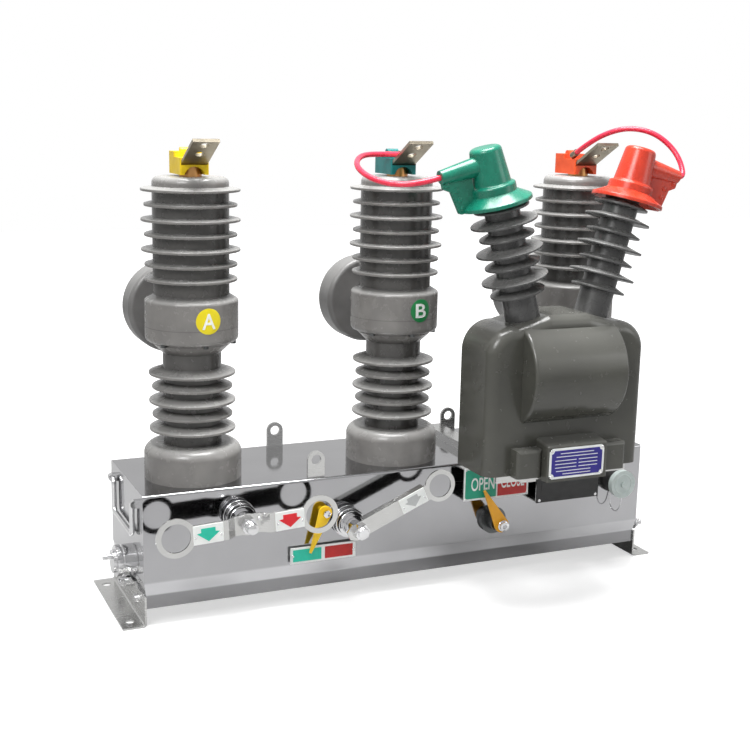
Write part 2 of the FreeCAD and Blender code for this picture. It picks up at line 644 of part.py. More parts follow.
def make_rear_conductor():
    """Sliding contact round the moving stem, bar through the arm, and the rear pad."""
    clamp = cylinder("clamp_ring", s.clamp_r, s.clamp_half * 2, (0, 0, JOINT.out_z - s.clamp_half))
    bar = cylinder("clamp_bar", s.out_r, s.tube_end + s.bar_lap, (0, 0, JOINT.out_z), "Y")
    half = s.pad_width / 2
    end = s.tube_end + s.pad_out
    pad_block = box("rear_pad", ((-half, half), (s.tube_end, end),
                                 (JOINT.out_z - s.pad_sheet / 2, JOINT.out_z + s.pad_sheet / 2)))
    bore = cylinder("clamp_bore", s.contact_r + s.contact_run, s.clamp_half * 4,
                    (0, 0, JOINT.out_z - s.clamp_half * 2))
    holes = [cylinder(f"rear_hole_{i}", s.pad_hole_r, s.pad_sheet * 2,
                      (0, end - s.pad_hole_end - s.pad_hole_pitch * i, JOINT.out_z - s.pad_sheet))
             for i in (0, 1)]
    return cut("rear_conductor", fuse("rear_solid", clamp, bar, pad_block), bore, *holes)


# Drive
def make_rod():
    """Insulating rod with the crank fork below and the moving contact above."""
    pin_y = s.shaft_y - s.pole_y - s.crank_reach * cosine(s.crank_rest)
    pin_z = s.shaft_z - s.crank_reach * sine(s.crank_rest)
    half_x = s.fork_width / 2
    half_y = s.fork_depth / 2
    fork = box("fork", ((-half_x, half_x), (-half_y, half_y), (SHAFT.fork_low, SHAFT.fork_high)))
    rod = cylinder("rod", s.rod_r, JOINT.rod_top - SHAFT.fork_high, (0, 0, SHAFT.fork_high))
    contact = cylinder("contact", s.contact_r, JOINT.contact_top - JOINT.rod_top, (0, 0, JOINT.rod_top))
    slot_top = s.shaft_z + s.crank_eye_r + s.fork_room
    slot = box("fork_slot", ((-s.fork_slot / 2, s.fork_slot / 2), (-s.fork_depth, s.fork_depth),
                             (SHAFT.fork_low - s.fork_room, slot_top)))
    reach = s.crank_pin_r + s.fork_slide
    rise = s.crank_pin_r + s.fork_play
    eye = box("fork_eye", ((-s.fork_width, s.fork_width), (pin_y - reach, pin_y + reach),
                           (pin_z - rise, pin_z + rise)))
    return cut("pull_rod", fuse("rod_solid", fork, rod, contact), slot, eye)


def make_shaft():
    """Main shaft with one crank for each phase, contacts open."""
    shaft = cylinder("main_bar", s.shaft_r, SHAFT_HALF * 2, (-SHAFT_HALF, s.shaft_y, s.shaft_z), "X")
    half = s.crank_sheet / 2
    hub = cylinder("crank_hub", s.crank_hub_r, s.crank_sheet, (-half, 0, 0), "X")
    web = box("crank_web", ((-half, half), (-s.crank_reach, 0), (-s.crank_eye_r, s.crank_eye_r)))
    eye = cylinder("crank_eye", s.crank_eye_r, s.crank_sheet, (-half, -s.crank_reach, 0), "X")
    pin_half = s.fork_width / 2 - s.crank_pin_inset
    pin = cylinder("crank_pin", s.crank_pin_r, pin_half * 2, (-pin_half, -s.crank_reach, 0), "X")
    crank = fuse("crank", hub, web, eye, pin)
    cranks = []
    for i in (-1, 0, 1):
        item = group(f"crank_{i}", crank)
        item.Placement = Placement(Vector(), Rotation(Vector(1, 0, 0), 1))
        bind(item, {"Placement.Rotation.Angle": s.crank_rest})
        cranks.append(at(item, PITCH * i, s.shaft_y, s.shaft_z))
    node("main_shaft", fuse("main_shaft_solid", shaft, *cranks))


def make_bearings():
    """End bearings of the main shaft, seated on the two end walls."""
    inner = s.box_length / 2 - s.wall
    start = SHAFT_HALF - s.bearing_cover
    flange = cylinder("bearing_flange", s.bearing_flange_r, s.bearing_flange,
                      (inner - s.bearing_flange, s.shaft_y, s.shaft_z), "X")
    sleeve = cylinder("bearing_sleeve", s.bearing_r, inner - start, (start, s.shaft_y, s.shaft_z), "X")
    bore = cylinder("bearing_bore", s.shaft_r + s.shaft_run, s.bearing_cover + s.bearing_play,
                    (start, s.shaft_y, s.shaft_z), "X")
    right = cut("bearing", fuse("bearing_solid", flange, sleeve), bore)
    node("shaft_bearings", group("bearing_pair", right, mirrored("bearing_left", right)))


# Front controls
def make_manual_lever():
    """Two-armed pull lever with a ring at each end and its middle set back."""
    half = s.arm_width / 2
    thick = s.lever_sheet
    face = new_body("manual_face")
    reach = s.manual_reach
    points = [(-reach, -half), (reach, -half), (reach, half), (-reach, half)]
    pad(face, outline(face, "manual_outline", "XZ_Plane", points), s.lever_sheet * 20, "manual_bar",
        middle=True)
    rings = [cylinder(f"manual_ring_{i}", s.ring_r, s.lever_sheet * 20,
                      (reach * i, -s.lever_sheet * 10, 0), "Y") for i in (-1, 1)]
    hub = cylinder("manual_hub", s.manual_hub_r, s.lever_sheet * 20,
                   (0, -s.lever_sheet * 10, 0), "Y")
    strip = new_body("manual_strip")
    far = reach + s.ring_r + 1
    near_x = s.manual_hub_half
    jog_x = near_x + s.jog_run
    jog = s.manual_jog
    path = [(-far, 0), (-jog_x, 0), (-near_x, jog), (near_x, jog), (jog_x, 0), (far, 0),
            (far, thick), (jog_x + thick * 0.4, thick), (near_x + thick * 0.4, jog + thick),
            (-near_x - thick * 0.4, jog + thick), (-jog_x - thick * 0.4, thick), (-far, thick)]
    pad(strip, outline(strip, "manual_path", "XY_Plane", path), s.ring_r * 3, "manual_sheet",
        middle=True)
    sheet_lever = common("manual_cut", fuse("manual_blank", face, *rings, hub), strip)
    holes = [cylinder(f"manual_ring_hole_{i}", s.ring_hole_r, s.lever_sheet * 20,
                      (reach * i, -s.lever_sheet * 10, 0), "Y") for i in (-1, 1)]
    bore = cylinder("manual_bore", s.spindle_r, s.lever_sheet * 20, (0, -s.lever_sheet * 10, 0), "Y")
    lever = group("manual_lever_place", cut("manual_lever_cut", sheet_lever, *holes, bore))
    lever.Placement = Placement(Vector(), Rotation(Vector(0, -1, 0), 1))
    bind(lever, {"Placement.Rotation.Angle": s.manual_tilt})
    node("manual_lever", at(lever, START.manual_x, FACE.lever_y, ROOF.manual_z))


def make_charging_lever():
    """Single-armed lever with a ring, a folded upper lip and a short heel."""
    half = s.charge_width / 2
    thick = s.lever_sheet
    reach = s.charge_reach
    body = new_body("charging_face")
    points = [(-s.charge_heel, -half * 0.5), (-s.charge_heel * 0.5, -half), (reach, -half),
              (reach, half), (-s.charge_heel * 0.5, half), (-s.charge_heel, half * 0.5)]
    pad(body, outline(body, "charging_outline", "XZ_Plane", points, -thick), thick, "charging_bar")
    ring = cylinder("charging_ring", s.charge_ring_r, thick, (reach, 0, 0), "Y")
    lip = box("charging_lip", ((half, reach - s.charge_ring_r), (0, s.charge_lip),
                               (half - thick, half)))
    hole = cylinder("charging_ring_hole", s.charge_ring_hole_r, thick * 3, (reach, -thick, 0), "Y")
    bore = cylinder("charging_bore", s.spindle_r, thick * 3, (0, -thick, 0), "Y")
    lever = group("charging_lever_place",
                  cut("charging_lever_cut", fuse("charging_blank", body, ring, lip), hole, bore))
    lever.Placement = Placement(Vector(), Rotation(Vector(0, -1, 0), 1))
    bind(lever, {"Placement.Rotation.Angle": s.charge_tilt})
    node("charging_lever", at(lever, START.charge_x, FACE.lever_y, ROOF.charge_z))


def make_spindle(name, x, z, hub_y):
    """Lever spindle with its nut in front and a crank behind the panel."""
    bar = cylinder(f"{name}_bar", s.spindle_r, FACE.spindle_tail - FACE.spindle_end,
                   (x, FACE.spindle_end, z), "Y")
    nut_y = hub_y - s.nut_thick
    nut = doc.addObject("Part::Prism", f"{name}_nut")
    nut.Polygon = 6
    nut.Placement = Placement(Vector(), TURNS["Y"])
    bind(nut, {"Circumradius": s.nut_r, "Height": s.nut_thick})
    at(nut, x, nut_y, z)
    collar = cylinder(f"{name}_collar", s.nut_r, FACE.boss_end - hub_y - s.lever_sheet - s.collar_run,
                      (x, hub_y + s.lever_sheet, z), "Y")
    tail = cylinder(f"{name}_tail", s.tail_hub_r, s.tail_thick,
                    (x, FACE.spindle_tail - s.tail_thick, z), "Y")
    arm = box(f"{name}_arm", ((x - s.spindle_r, x + s.spindle_r),
                              (FACE.spindle_tail - s.tail_thick, FACE.spindle_tail),
                              (z - s.tail_reach, z)))
    node(name, fuse(f"{name}_solid", bar, nut, collar, tail, arm))


def make_bosses():
    """Bearing bosses of the two levers on the front panel."""
    front = -s.box_depth / 2
    bosses = []
    for name, x, z in (("manual", START.manual_x, ROOF.manual_z),
                       ("charge", START.charge_x, ROOF.charge_z)):
        flange = cylinder(f"{name}_flange", s.boss_flange_r, s.boss_flange,
                          (x, front - s.boss_flange, z), "Y")
        drum = cylinder(f"{name}_drum", s.boss_r, front - FACE.boss_end, (x, FACE.boss_end, z), "Y")
        bore = cylinder(f"{name}_boss_bore", s.spindle_r + s.shaft_run, FACE.boss_end * -1,
                        (x, FACE.boss_end - 1, z), "Y")
        bosses.append(cut(f"{name}_boss", fuse(f"{name}_boss_solid", flange, drum), bore))
    node("lever_bosses", group("boss_pair", *bosses))


def make_pointer(name, x, y, z, angle, reach, hub_r, tip, thick, spindle_r, tail_y):
    """A flat drop-shaped pointer on its own spindle."""
    body = new_body(f"{name}_body")
    points = [(0, -hub_r), (reach, -tip / 2), (reach, tip / 2), (0, hub_r)]
    pad(body, outline(body, f"{name}_outline", "XZ_Plane", points, -thick), thick, f"{name}_blade")
    hub = cylinder(f"{name}_hub", hub_r, thick, (0, 0, 0), "Y")
    blade = group(f"{name}_turned", fuse(f"{name}_blank", body, hub))
    blade.Placement = Placement(Vector(), Rotation(Vector(0, -1, 0), 1))
    bind(blade, {"Placement.Rotation.Angle": angle})
    at(blade, x, y, z)
    spindle = cylinder(f"{name}_spindle", spindle_r, tail_y - y + thick, (x, y - thick, z), "Y")
    return blade, spindle


def make_flag():
    """Spring-charge pointer and its sign plate."""
    blade, spindle = make_pointer("flag", START.flag_x, FACE.flag_y, ROOF.flag_z, s.flag_angle,
                                  s.flag_reach, s.flag_hub_r, s.flag_tip, s.flag_sheet,
                                  s.flag_spindle_r,
                                  FACE.spindle_tail - s.tail_thick)
    node("charge_pointer", fuse("charge_pointer_solid", blade, spindle))
    front = -s.box_depth / 2
    plate_y = front - s.plate_off
    half = s.plate_length / 2
    low = ROOF.plate_z - s.plate_height / 2
    plate = box("charge_plate_blank", ((START.plate_x - half, START.plate_x + half),
                                       (plate_y - s.plate_sheet, plate_y), (low, low + s.plate_height)))
    post_x = half - s.plate_post_inset
    posts = [cylinder(f"charge_post_{i}", s.plate_post_r, s.plate_off,
                      (START.plate_x + post_x * i, plate_y, ROOF.plate_z), "Y") for i in (-1, 1)]
    node("charge_plate", fuse("charge_plate_solid", plate, *posts))


def make_dial():
    """Open and closed pointer, its spindle and its bearing."""
    front = -s.box_depth / 2
    blade, spindle = make_pointer("dial", END.dial_x, FACE.dial_y, ROOF.dial_z, s.dial_angle, s.dial_reach,
                                  s.dial_hub_r, s.dial_tip, s.dial_sheet, s.dial_spindle_r,
                                  FACE.spindle_tail)
    bore = cylinder("dial_blade_bore", s.dial_spindle_r, s.dial_sheet * 3,
                    (END.dial_x, FACE.dial_y - s.dial_sheet, ROOF.dial_z), "Y")
    node("position_pointer", cut("position_blade", blade, bore))
    tail = cylinder("dial_tail", s.tail_hub_r, s.tail_thick,
                    (END.dial_x, FACE.spindle_tail - s.tail_thick, ROOF.dial_z), "Y")
    arm = box("dial_arm", ((END.dial_x - s.dial_spindle_r, END.dial_x + s.dial_spindle_r),
                           (FACE.spindle_tail - s.tail_thick, FACE.spindle_tail),
                           (ROOF.dial_z, ROOF.dial_z + s.tail_reach)))
    node("position_shaft", fuse("position_shaft_solid", spindle, tail, arm))
    flange = cylinder("dial_flange", s.dial_flange_r, s.dial_flange,
                      (END.dial_x, front - s.dial_flange, ROOF.dial_z), "Y")
    drum = cylinder("dial_drum", s.dial_boss_r, front - FACE.dial_boss_end,
                    (END.dial_x, FACE.dial_boss_end, ROOF.dial_z), "Y")
    bearing_bore = cylinder("dial_bearing_bore", s.dial_spindle_r + s.shaft_run,
                            s.box_depth / 2,
                            (END.dial_x, FACE.dial_boss_end - 1, ROOF.dial_z), "Y")
    node("position_bearing", cut("dial_bearing", fuse("dial_bearing_solid", flange, drum), bearing_bore))


def make_signs():
    """Position sign and nameplate blank, each on a folded standoff bracket."""
    front = -s.box_depth / 2
    brackets = []
    rows = (("position_sign", END.sign_x, s.sign_length, ROOF.sign_low, s.sign_height),
            ("nameplate", END.name_x, s.name_length, ROOF.name_low, s.name_height))
    for name, x, length, low, height in rows:
        half = length / 2
        back = FACE.sign_y + s.sign_sheet
        node(name, box(f"{name}_plate", ((x - half, x + half), (FACE.sign_y, back), (low, low + height))))
        fold = s.bracket_sheet
        below, above = low + s.bracket_inset, low + height - s.bracket_inset
        outer = box(f"{name}_fold", ((x - half, x + half), (back, front), (below, above)))
        inner = box(f"{name}_hollow", ((x - length, x + length), (back + fold, front + fold),
                                       (below + fold, above - fold)))
        brackets.append(cut(f"{name}_bracket", outer, inner))
    node("plate_brackets", group("bracket_pair", *brackets))


def make_socket():
    """Control cable socket with its dust cap."""
    front = -s.box_depth / 2
    x, z = END.socket_x, ROOF.socket_z
    flange = cylinder("socket_flange", s.socket_flange_r, s.socket_flange,
                      (x, front - s.socket_flange, z), "Y")
    barrel = cylinder("socket_barrel", s.socket_r, front - FACE.socket_end, (x, FACE.socket_end, z), "Y")
    tail = cylinder("socket_tail", s.socket_tail_r, FACE.socket_tail - front + s.wall,
                    (x, front - s.wall, z), "Y")
    well = cylinder("socket_well_cut", s.socket_r - s.socket_wall, s.socket_well,
                    (x, FACE.socket_end - s.cap_lap, z), "Y")
    node("connector_socket", cut("socket", fuse("socket_solid", flange, barrel, tail), well))
    face = FACE.socket_end - s.cover_gap
    lid = cylinder("cap_lid", s.cap_r, FACE.socket_end + s.cap_lap - FACE.cap_front,
                   (x, FACE.cap_front, z), "Y")
    nub = cylinder("cap_nub_drum", s.cap_nub_r, s.cap_nub,
                   (x, FACE.cap_front - s.cap_nub, z), "Y")
    hollow = cylinder("cap_hollow", s.socket_r + s.cap_fit, s.cap_lap * 2, (x, face, z), "Y")
    node("connector_cap", cut("cap", fuse("cap_solid", lid, nub), hollow))


# Ends
def make_ends():
    """Bail handles, their ears, the trip fitting and the ground bolts."""
    end = s.box_length / 2
    pivot = end + s.bail_gap + s.bail_rod_r
    rod = s.bail_rod_r
    ear_start = s.bail_half + s.bail_bend + s.ear_clear
    turn_y = ear_start + s.ear_width
    y, run = s.bail_half.value, turn_y.value
    leg = s.bail_leg.value
    corners = [Vector(0, -run, 0), Vector(0, -y, 0), Vector(0, -y, -leg),
               Vector(0, y, -leg), Vector(0, y, 0), Vector(0, run, 0)]
    bail = tube_along("bail", corners, rod.value, s.bail_bend.value)
    left = at(group("bail_left_place", bail), -pivot, 0, ROOF.bail_z)
    node("bail_left", left)
    node("bail_right", mirrored("bail_right_place", left))
    block = box("ear_block", ((-end - s.bail_gap - rod, -end), (ear_start, turn_y),
                              (ROOF.bail_z - rod - s.ear_sheet, ROOF.bail_z + rod + s.ear_sheet)))
    nose = cylinder("ear_nose", rod + s.ear_sheet, s.ear_width, (-pivot, ear_start, ROOF.bail_z), "Y")
    bore = cylinder("ear_bore", rod + s.ear_run, s.ear_width * 2,
                    (-pivot, ear_start - s.ear_width / 2, ROOF.bail_z), "Y")
    ear = cut("ear", fuse("ear_solid", block, nose), bore)
    other = doc.addObject("Part::Mirroring", "ear_front")
    other.Source = ear
    other.Normal = Vector(0, 1, 0)
    left_ears = group("ears_left", ear, other)
    node("bail_brackets", group("ear_set", left_ears, mirrored("ears_right", left_ears)))

    rod_z = s.trip_z + s.trip_rise
    rings = []
    face = -end
    steps = (("flange", s.trip_r, s.trip_flange), ("neck", s.trip_waist_r, s.trip_waist),
             ("drum", s.trip_r, s.trip_drum), ("nose", s.trip_nose_r, s.trip_nose))
    for name, radius, length in steps:
        rings.append(cylinder(f"trip_{name}_ring", radius, length, (face, s.trip_y, s.trip_z), "-X"))
        face = face - length
    trip_bore = cylinder("trip_bore", s.trip_rod_r + s.trip_run, s.trip_out * 2,
                         (-end + s.trip_tail, s.trip_y, rod_z), "-X")
    node("trip_fitting", cut("trip_body", fuse("trip_spool", *rings), trip_bore))
    node("trip_rod", cylinder("trip_rod_bar", s.trip_rod_r, s.trip_out + s.trip_tail,
                              (-end + s.trip_tail, s.trip_y, rod_z), "-X"))


def tube_along(name, corners, radius, bend):
    """A round bar along straight runs with equal round bends."""
    edges = rounded_path(corners, [bend] * (len(corners) - 2))
    item = doc.addObject("Part::Feature", name)
    item.Shape = sweep_circle(edges, radius)
    return item


def rounded_path(corners, radii):
    """Straight runs joined by arcs that touch both."""
    edges = []
    here = corners[0]
    for i in range(1, len(corners) - 1):
        before = (corners[i - 1] - corners[i]).normalize()
        after = (corners[i + 1] - corners[i]).normalize()
        half_turn = (math.pi - before.getAngle(after)) / 2
        back = radii[i - 1] * math.tan(half_turn)
        start = corners[i] + before * back
        end = corners[i] + after * back
        middle_way = (before + after).normalize()
        depth = radii[i - 1] / math.cos(half_turn) - radii[i - 1]
        edges.append(Part.LineSegment(here, start).toShape())
        edges.append(Part.Arc(start, corners[i] + middle_way * depth, end).toShape())
        here = end
    edges.append(Part.LineSegment(here, corners[-1]).toShape())
    return edges


def sweep_circle(edges, radius):
    """A round solid that follows the edges."""
    wire = Part.Wire(edges)
    start = edges[0].Vertexes[0].Point
    direction = edges[0].tangentAt(edges[0].FirstParameter)
    section = Part.Wire([Part.makeCircle(radius, start, direction)])
    return wire.makePipeShell([section], True, True)


# Voltage transformer
def make_vt_body():
    """Cast resin body: rounded block with a crested roof, a front barrel and two foot blocks."""
    body = new_body("vt_casting")
    rise = (SHOULDER - CREST) * sine(s.vt_tilt) / cosine(s.vt_tilt)
    side = SEAT.vt_side
    top = side + rise
    x = END.vt_x
    points = [(x - s.vt_half, SEAT.origin), (x + s.vt_half, SEAT.origin), (x + s.vt_half, side),
              (x + SHOULDER, side), (x + CREST, top), (x - CREST, top),
              (x - SHOULDER, side), (x - s.vt_half, side)]
    pad(body, outline(body, "vt_profile", "XZ_Plane", points, s.vt_back), s.vt_depth, "vt_block")
    soften(body, s.vt_corner, "vt_corners",
           lambda e: near(abs(e.CenterOfMass.x - x.value), s.vt_half) and near(e.CenterOfMass.z, side))
    front = -s.vt_back - s.vt_depth
    soften(body, s.vt_round, "vt_front_round", lambda e: near(e.CenterOfMass.y, front, 0.5)
           and e.CenterOfMass.z > SEAT.origin.value + 1)
    barrel = common("vt_barrel",
                    cylinder("vt_barrel_round", s.bulge_r, s.bulge_half * 2,
                             (x - s.bulge_half, front - s.bulge_out + s.bulge_r, SEAT.bulge_z), "X"),
                    box("vt_barrel_cut", ((x - s.bulge_half, x + s.bulge_half),
                                          (front - s.bulge_out, front + s.bulge_root),
                                          (SEAT.origin, top))))
    barrel = round_edges("vt_barrel_soft", barrel, s.bulge_round, lambda e: round_edge(e, s.bulge_r))
    blocks = [box(f"vt_block_{i}", ((x + s.block_x * i - s.block_half, x + s.block_x * i + s.block_half),
                                    (front - s.block_out, front + s.block_out),
                                    (SEAT.origin, SEAT.origin + s.block_height))) for i in (-1, 1)]
    blocks = [round_edges(f"vt_block_soft_{i}", piece, s.block_round,
                          lambda e: near(e.CenterOfMass.y, front - s.block_out)
                          and not near(e.CenterOfMass.z, SEAT.origin))
              for i, piece in zip((-1, 1), blocks)]
    node("vt_body", fuse("vt_body_solid", body, barrel, *blocks))


def make_vt_box():
    """Secondary terminal box: its roof falls towards the front."""
    root = -s.vt_back - s.vt_depth
    front = root - s.tank_out
    body = new_body("tank_body")
    points = [(root, SEAT.tank_low), (front, SEAT.tank_low), (front, SEAT.tank_front_top),
              (root, SEAT.tank_back_top)]
    pad(body, outline(body, "tank_profile", "YZ_Plane", points, END.vt_x), s.tank_half * 2, "tank_block",
        middle=True)
    soften(body, s.tank_round, "tank_edges",
           lambda e: near(e.CenterOfMass.y, front) and not near(e.CenterOfMass.z, SEAT.tank_low)
           or e.CenterOfMass.z > SEAT.tank_front_top.value - 1 and not near(e.CenterOfMass.y, root))
    node("vt_terminal_box", body)


def make_vt_mount():
    """Two rails on the box roof and the bed plate that carries the transformer."""
    rails = []
    for i in (-1, 1):
        x = END.vt_x + s.rail_x * i
        rails.append(box(f"rail_{i}", ((x - s.rail_half, x + s.rail_half), (-s.rail_front, s.rail_back),
                                       (s.box_top, s.box_top + s.rail_height))))
    node("vt_rails", group("rail_pair", *rails))
    low = s.box_top + s.rail_height
    left, right = END.vt_x - s.bed_half, END.vt_x + s.bed_half
    bed = box("bed_plate", ((left, right), (-s.bed_front, -s.bed_back), (low, low + s.bed_sheet)))
    lip = box("bed_lip", ((left, right), (-s.bed_front, s.bed_sheet - s.bed_front),
                          (low - s.bed_lip, low)))
    node("vt_bed", fuse("bed", bed, lip))


def tilted(name, piece, side):
    """Stand a piece on its slanted seat, left or right of the transformer's middle."""
    seat_z = SEAT.vt_side + (SHOULDER - SEAT_X) * sine(s.vt_tilt) / cosine(s.vt_tilt)
    item = group(name, piece)
    item.Placement = Placement(Vector(), Rotation(Vector(0, side, 0), 1))
    bind(item, {"Placement.Rotation.Angle": s.vt_tilt})
    return at(item, END.vt_x + SEAT_X * side, -s.bush_y, seat_z)


def make_bushings():
    body = new_body("bushing_body")
    count = whole((s.bush_head - s.bush_first) / s.bush_pitch) + 1
    top = s.bush_first + s.bush_pitch * (count - 1)
    head_top = s.hood_step - s.hood_wall - s.hood_fit
    points = [(0, s.stud_top), (s.stud_r, s.stud_top), (s.stud_r, head_top),
              (s.bush_head_r, head_top), (s.bush_head_r, s.bush_head), (s.bush_r, s.bush_head)]
    points += sheds(count, top, s.bush_pitch, s.bush_r, s.bush_small_r, s.bush_big_r,
                    s.bush_rise, s.bush_root, s.bush_edge, last_small=False)
    points += [(s.bush_r, 0), (0, 0)]
    turn(body, outline(body, "bushing_profile", "XZ_Plane", points), "bushing_turned")
    soften(body, s.bush_tip, "bushing_shed_tips",
           lambda e: round_edge(e, s.bush_big_r, s.bush_small_r))
    node("vt_bushing_left", tilted("bushing_left_place", body, -1))
    node("vt_bushing_right", tilted("bushing_right_place", body, 1))


def make_hoods():
    """Rubber hoods over the bushing heads, each with a horn for its lead."""
    wall = s.hood_wall
    head = s.bush_head_r + s.hood_shift + s.hood_fit
    body = new_body("hood_body")
    points = [(s.hood_skirt_r, s.hood_skirt), (s.hood_skirt_r, s.hood_skirt + s.hood_rim),
              (s.hood_collar_r, s.hood_collar), (s.hood_collar_r, s.hood_step),
              (s.hood_barrel_r, s.hood_step), (s.hood_top_r, s.hood_crown), (0, s.hood_crown),
              (0, s.hood_skirt)]
    turn(body, outline(body, "hood_profile", "XZ_Plane", points), "hood_turned")
    soften(body, s.hood_crown_round, "hood_crown_edge",
           lambda e: ring_edge(e, s.hood_top_r, s.hood_crown))
    soften(body, s.hood_collar_round, "hood_collar_edge",
           lambda e: ring_edge(e, s.hood_collar_r, s.hood_step))
    soften(body, s.hood_step_round, "hood_barrel_root",
           lambda e: ring_edge(e, s.hood_barrel_r, s.hood_step))
    soften(body, s.hood_rim_round, "hood_rim_edge",
           lambda e: ring_edge(e, s.hood_skirt_r, s.hood_skirt + s.hood_rim))
    inside = new_body("hood_inside")
    barrel_in = s.hood_barrel_r - wall
    crown_in = s.hood_top_r - s.hood_crown_round
    clear = [(0, s.hood_skirt - s.hood_rim), (s.hood_skirt_r - wall, s.hood_skirt - s.hood_rim),
             (s.hood_skirt_r - wall, s.hood_skirt), (head, s.hood_collar - wall),
             (head, s.hood_step - wall), (barrel_in, s.hood_step - wall),
             (s.hood_top_r - wall, s.hood_crown - s.hood_crown_round),
             (crown_in, s.hood_crown - wall), (0, s.hood_crown - wall)]
    turn(inside, outline(inside, "hood_inside_profile", "XZ_Plane", clear), "hood_inside_turned")
    root = s.hood_top_r - s.horn_sunk
    horn = cone("hood_horn", s.horn_r, s.horn_mouth_r, s.horn_reach - root, (root, 0, s.horn_z), "X")
    horn_bore = cone("hood_horn_bore", s.horn_r - wall, s.lead_r + s.hood_fit, s.horn_reach - root,
                     (root, 0, s.horn_z), "X")
    flap = new_body("flap_body")
    edge = s.horn_reach - s.hood_fit
    inner = s.hood_collar_r - wall
    flap_points = [(inner, s.hood_skirt), (s.flap_foot, s.hood_skirt), (s.flap_waist, s.flap_shelf),
                   (edge, s.flap_lip), (edge, s.horn_z - s.horn_mouth_r + s.hood_fit),
                   (inner, s.horn_z - s.horn_r + wall)]
    pad(flap, outline(flap, "flap_outline", "XZ_Plane", flap_points), s.flap_sheet, "flap_web",
        middle=True)
    soften(flap, s.flap_round, "flap_corners",
           lambda e: near(abs(e.tangentAt(e.FirstParameter).y), 1)
           and (near(e.CenterOfMass.x, s.flap_foot) or near(e.CenterOfMass.z, s.flap_lip)))
    hood = cut("hood", fuse("hood_solid", body, horn, flap), inside, horn_bore)
    right = placed("hood_hung", hood, s.hood_shift)
    node("vt_hood_right", tilted("hood_right_place", right, 1))
    node("vt_hood_left", tilted("hood_left_place", mirrored("hood_mirror", right), -1))


# Fasteners
def make_lead_lugs():
    """Cable lugs on the covers of the middle and right phases."""
    first = cylinder("lug_barrel_b", s.lug_barrel_r, s.lug_barrel,
                     (s.lug_barrel_x, s.pole_y - s.lug_off_b, CAP.cover_high + s.lug_barrel_r), "-X")
    second = cylinder("lug_barrel_c", s.lug_barrel_r, s.lug_barrel, (0, 0, 0))
    second.Placement = Placement(Vector(), Rotation(Vector(1, 0, 0), 1))
    bind(second, {"Placement.Rotation.Angle": s.lug_tilt})
    at(second, PITCH - s.lug_side, s.pole_y - s.lug_off_c,
       CAP.cover_high + s.lug_barrel_r * sine(s.lug_tilt))
    node("lead_lugs", group("lug_pair", first, second))


def make_fasteners():
    """Foot bolts and ground bolts at both ends."""
    outer = s.joggle - s.box_length / 2 - s.foot_sheet
    bolts = []
    for i in (-1, 1):
        head = cylinder(f"foot_head_{i}", s.foot_head_r, s.foot_head,
                        (outer, s.foot_bolt_half * i, s.foot_bolt_z), "-X")
        shank = cylinder(f"foot_shank_{i}", s.foot_bolt_r, s.foot_sheet + s.wall,
                         (outer, s.foot_bolt_half * i, s.foot_bolt_z), "X")
        bolts.append(fuse(f"foot_bolt_{i}", head, shank))
    stud = cylinder("ground_stud", s.ground_r, s.ground_out, (outer, 0, s.ground_z), "-X")
    head = cylinder("ground_nut", s.ground_head_r, s.ground_head, (outer, 0, s.ground_z), "-X")
    bolts.append(fuse("ground_bolt", stud, head))
    left = group("bolts_left", *bolts)
    node("end_bolts", group("bolt_set", left, mirrored("bolts_right", left)))


# Leads
def cord(name, points, radius):
    """A free lead: straight runs and the largest arcs that they allow."""
    corners = [Vector(*p) for p in points]
    runs = [(b - a).Length for a, b in zip(corners, corners[1:])]
    radii = []
    for i in range(1, len(corners) - 1):
        before = corners[i - 1] - corners[i]
        after = corners[i + 1] - corners[i]
        half_turn = (math.pi - before.getAngle(after)) / 2
        radii.append(0.45 * min(runs[i - 1], runs[i]) / math.tan(half_turn))
    edges = rounded_path(corners, radii)
    length = sum(edge.Length for edge in edges)
    item = doc.addObject("Part::Feature", name)
    item.Shape = sweep_circle(edges, radius.value)
    print(name, "length", round(length, 1), "radii", [round(r, 1) for r in radii],
          "runs", [round(r, 1) for r in runs],
          "volume ratio", round(item.Shape.Volume / (math.pi * radius.value ** 2 * length), 4))
    node(name, item)


def main():
    make_enclosure()
    make_bottom_cover()
    make_feet()
    make_lugs()
    per_phase("pole_upper", make_pole_upper())
    per_phase("pole_lower", make_pole_lower())
    all_phases("vacuum_interrupters", make_interrupter())
    per_phase("pull_rod", make_rod())
    all_phases("top_terminals", make_top_terminal())
    per_phase("terminal_cover", make_terminal_cover())
    per_phase("current_transformer", make_transformer())
    all_phases("rear_conductors", make_rear_conductor())
    make_shaft()
    make_bearings()
    make_bosses()
    make_manual_lever()
    make_charging_lever()
    make_spindle("manual_spindle", START.manual_x, ROOF.manual_z, FACE.lever_y + s.manual_jog)
    make_spindle("charging_spindle", START.charge_x, ROOF.charge_z, FACE.lever_y)
    make_flag()
    make_dial()
    make_signs()
    make_socket()
    make_ends()
    make_vt_body()
    make_vt_box()
    make_vt_mount()
    make_bushings()
    make_hoods()
    make_lead_lugs()
    make_fasteners()
    cord("lead_b", LEAD_B, s.lead_r)
    cord("lead_c", LEAD_C, s.lead_r)
    cord("cap_lanyard", LANYARD, s.lanyard_r)
    doc.recompute()
    export()


def export():
    """Check every object and write each sub-part."""
    for item in doc.Objects:
        if {"Invalid", "Error"} & set(item.State):
            raise RuntimeError(f"{item.Name} failed: {item.State}")
    os.makedirs("parts", exist_ok=True)
    for name, item in nodes.items():
        shape = item.Shape
        if shape.isNull() or not shape.isValid() or not shape.Solids:
            raise RuntimeError(f"{name} has no valid solid")
        shape.exportStep(f"parts/{name}.step")
        print(name, len(shape.Solids), round(shape.Volume / 1000, 1))


main()
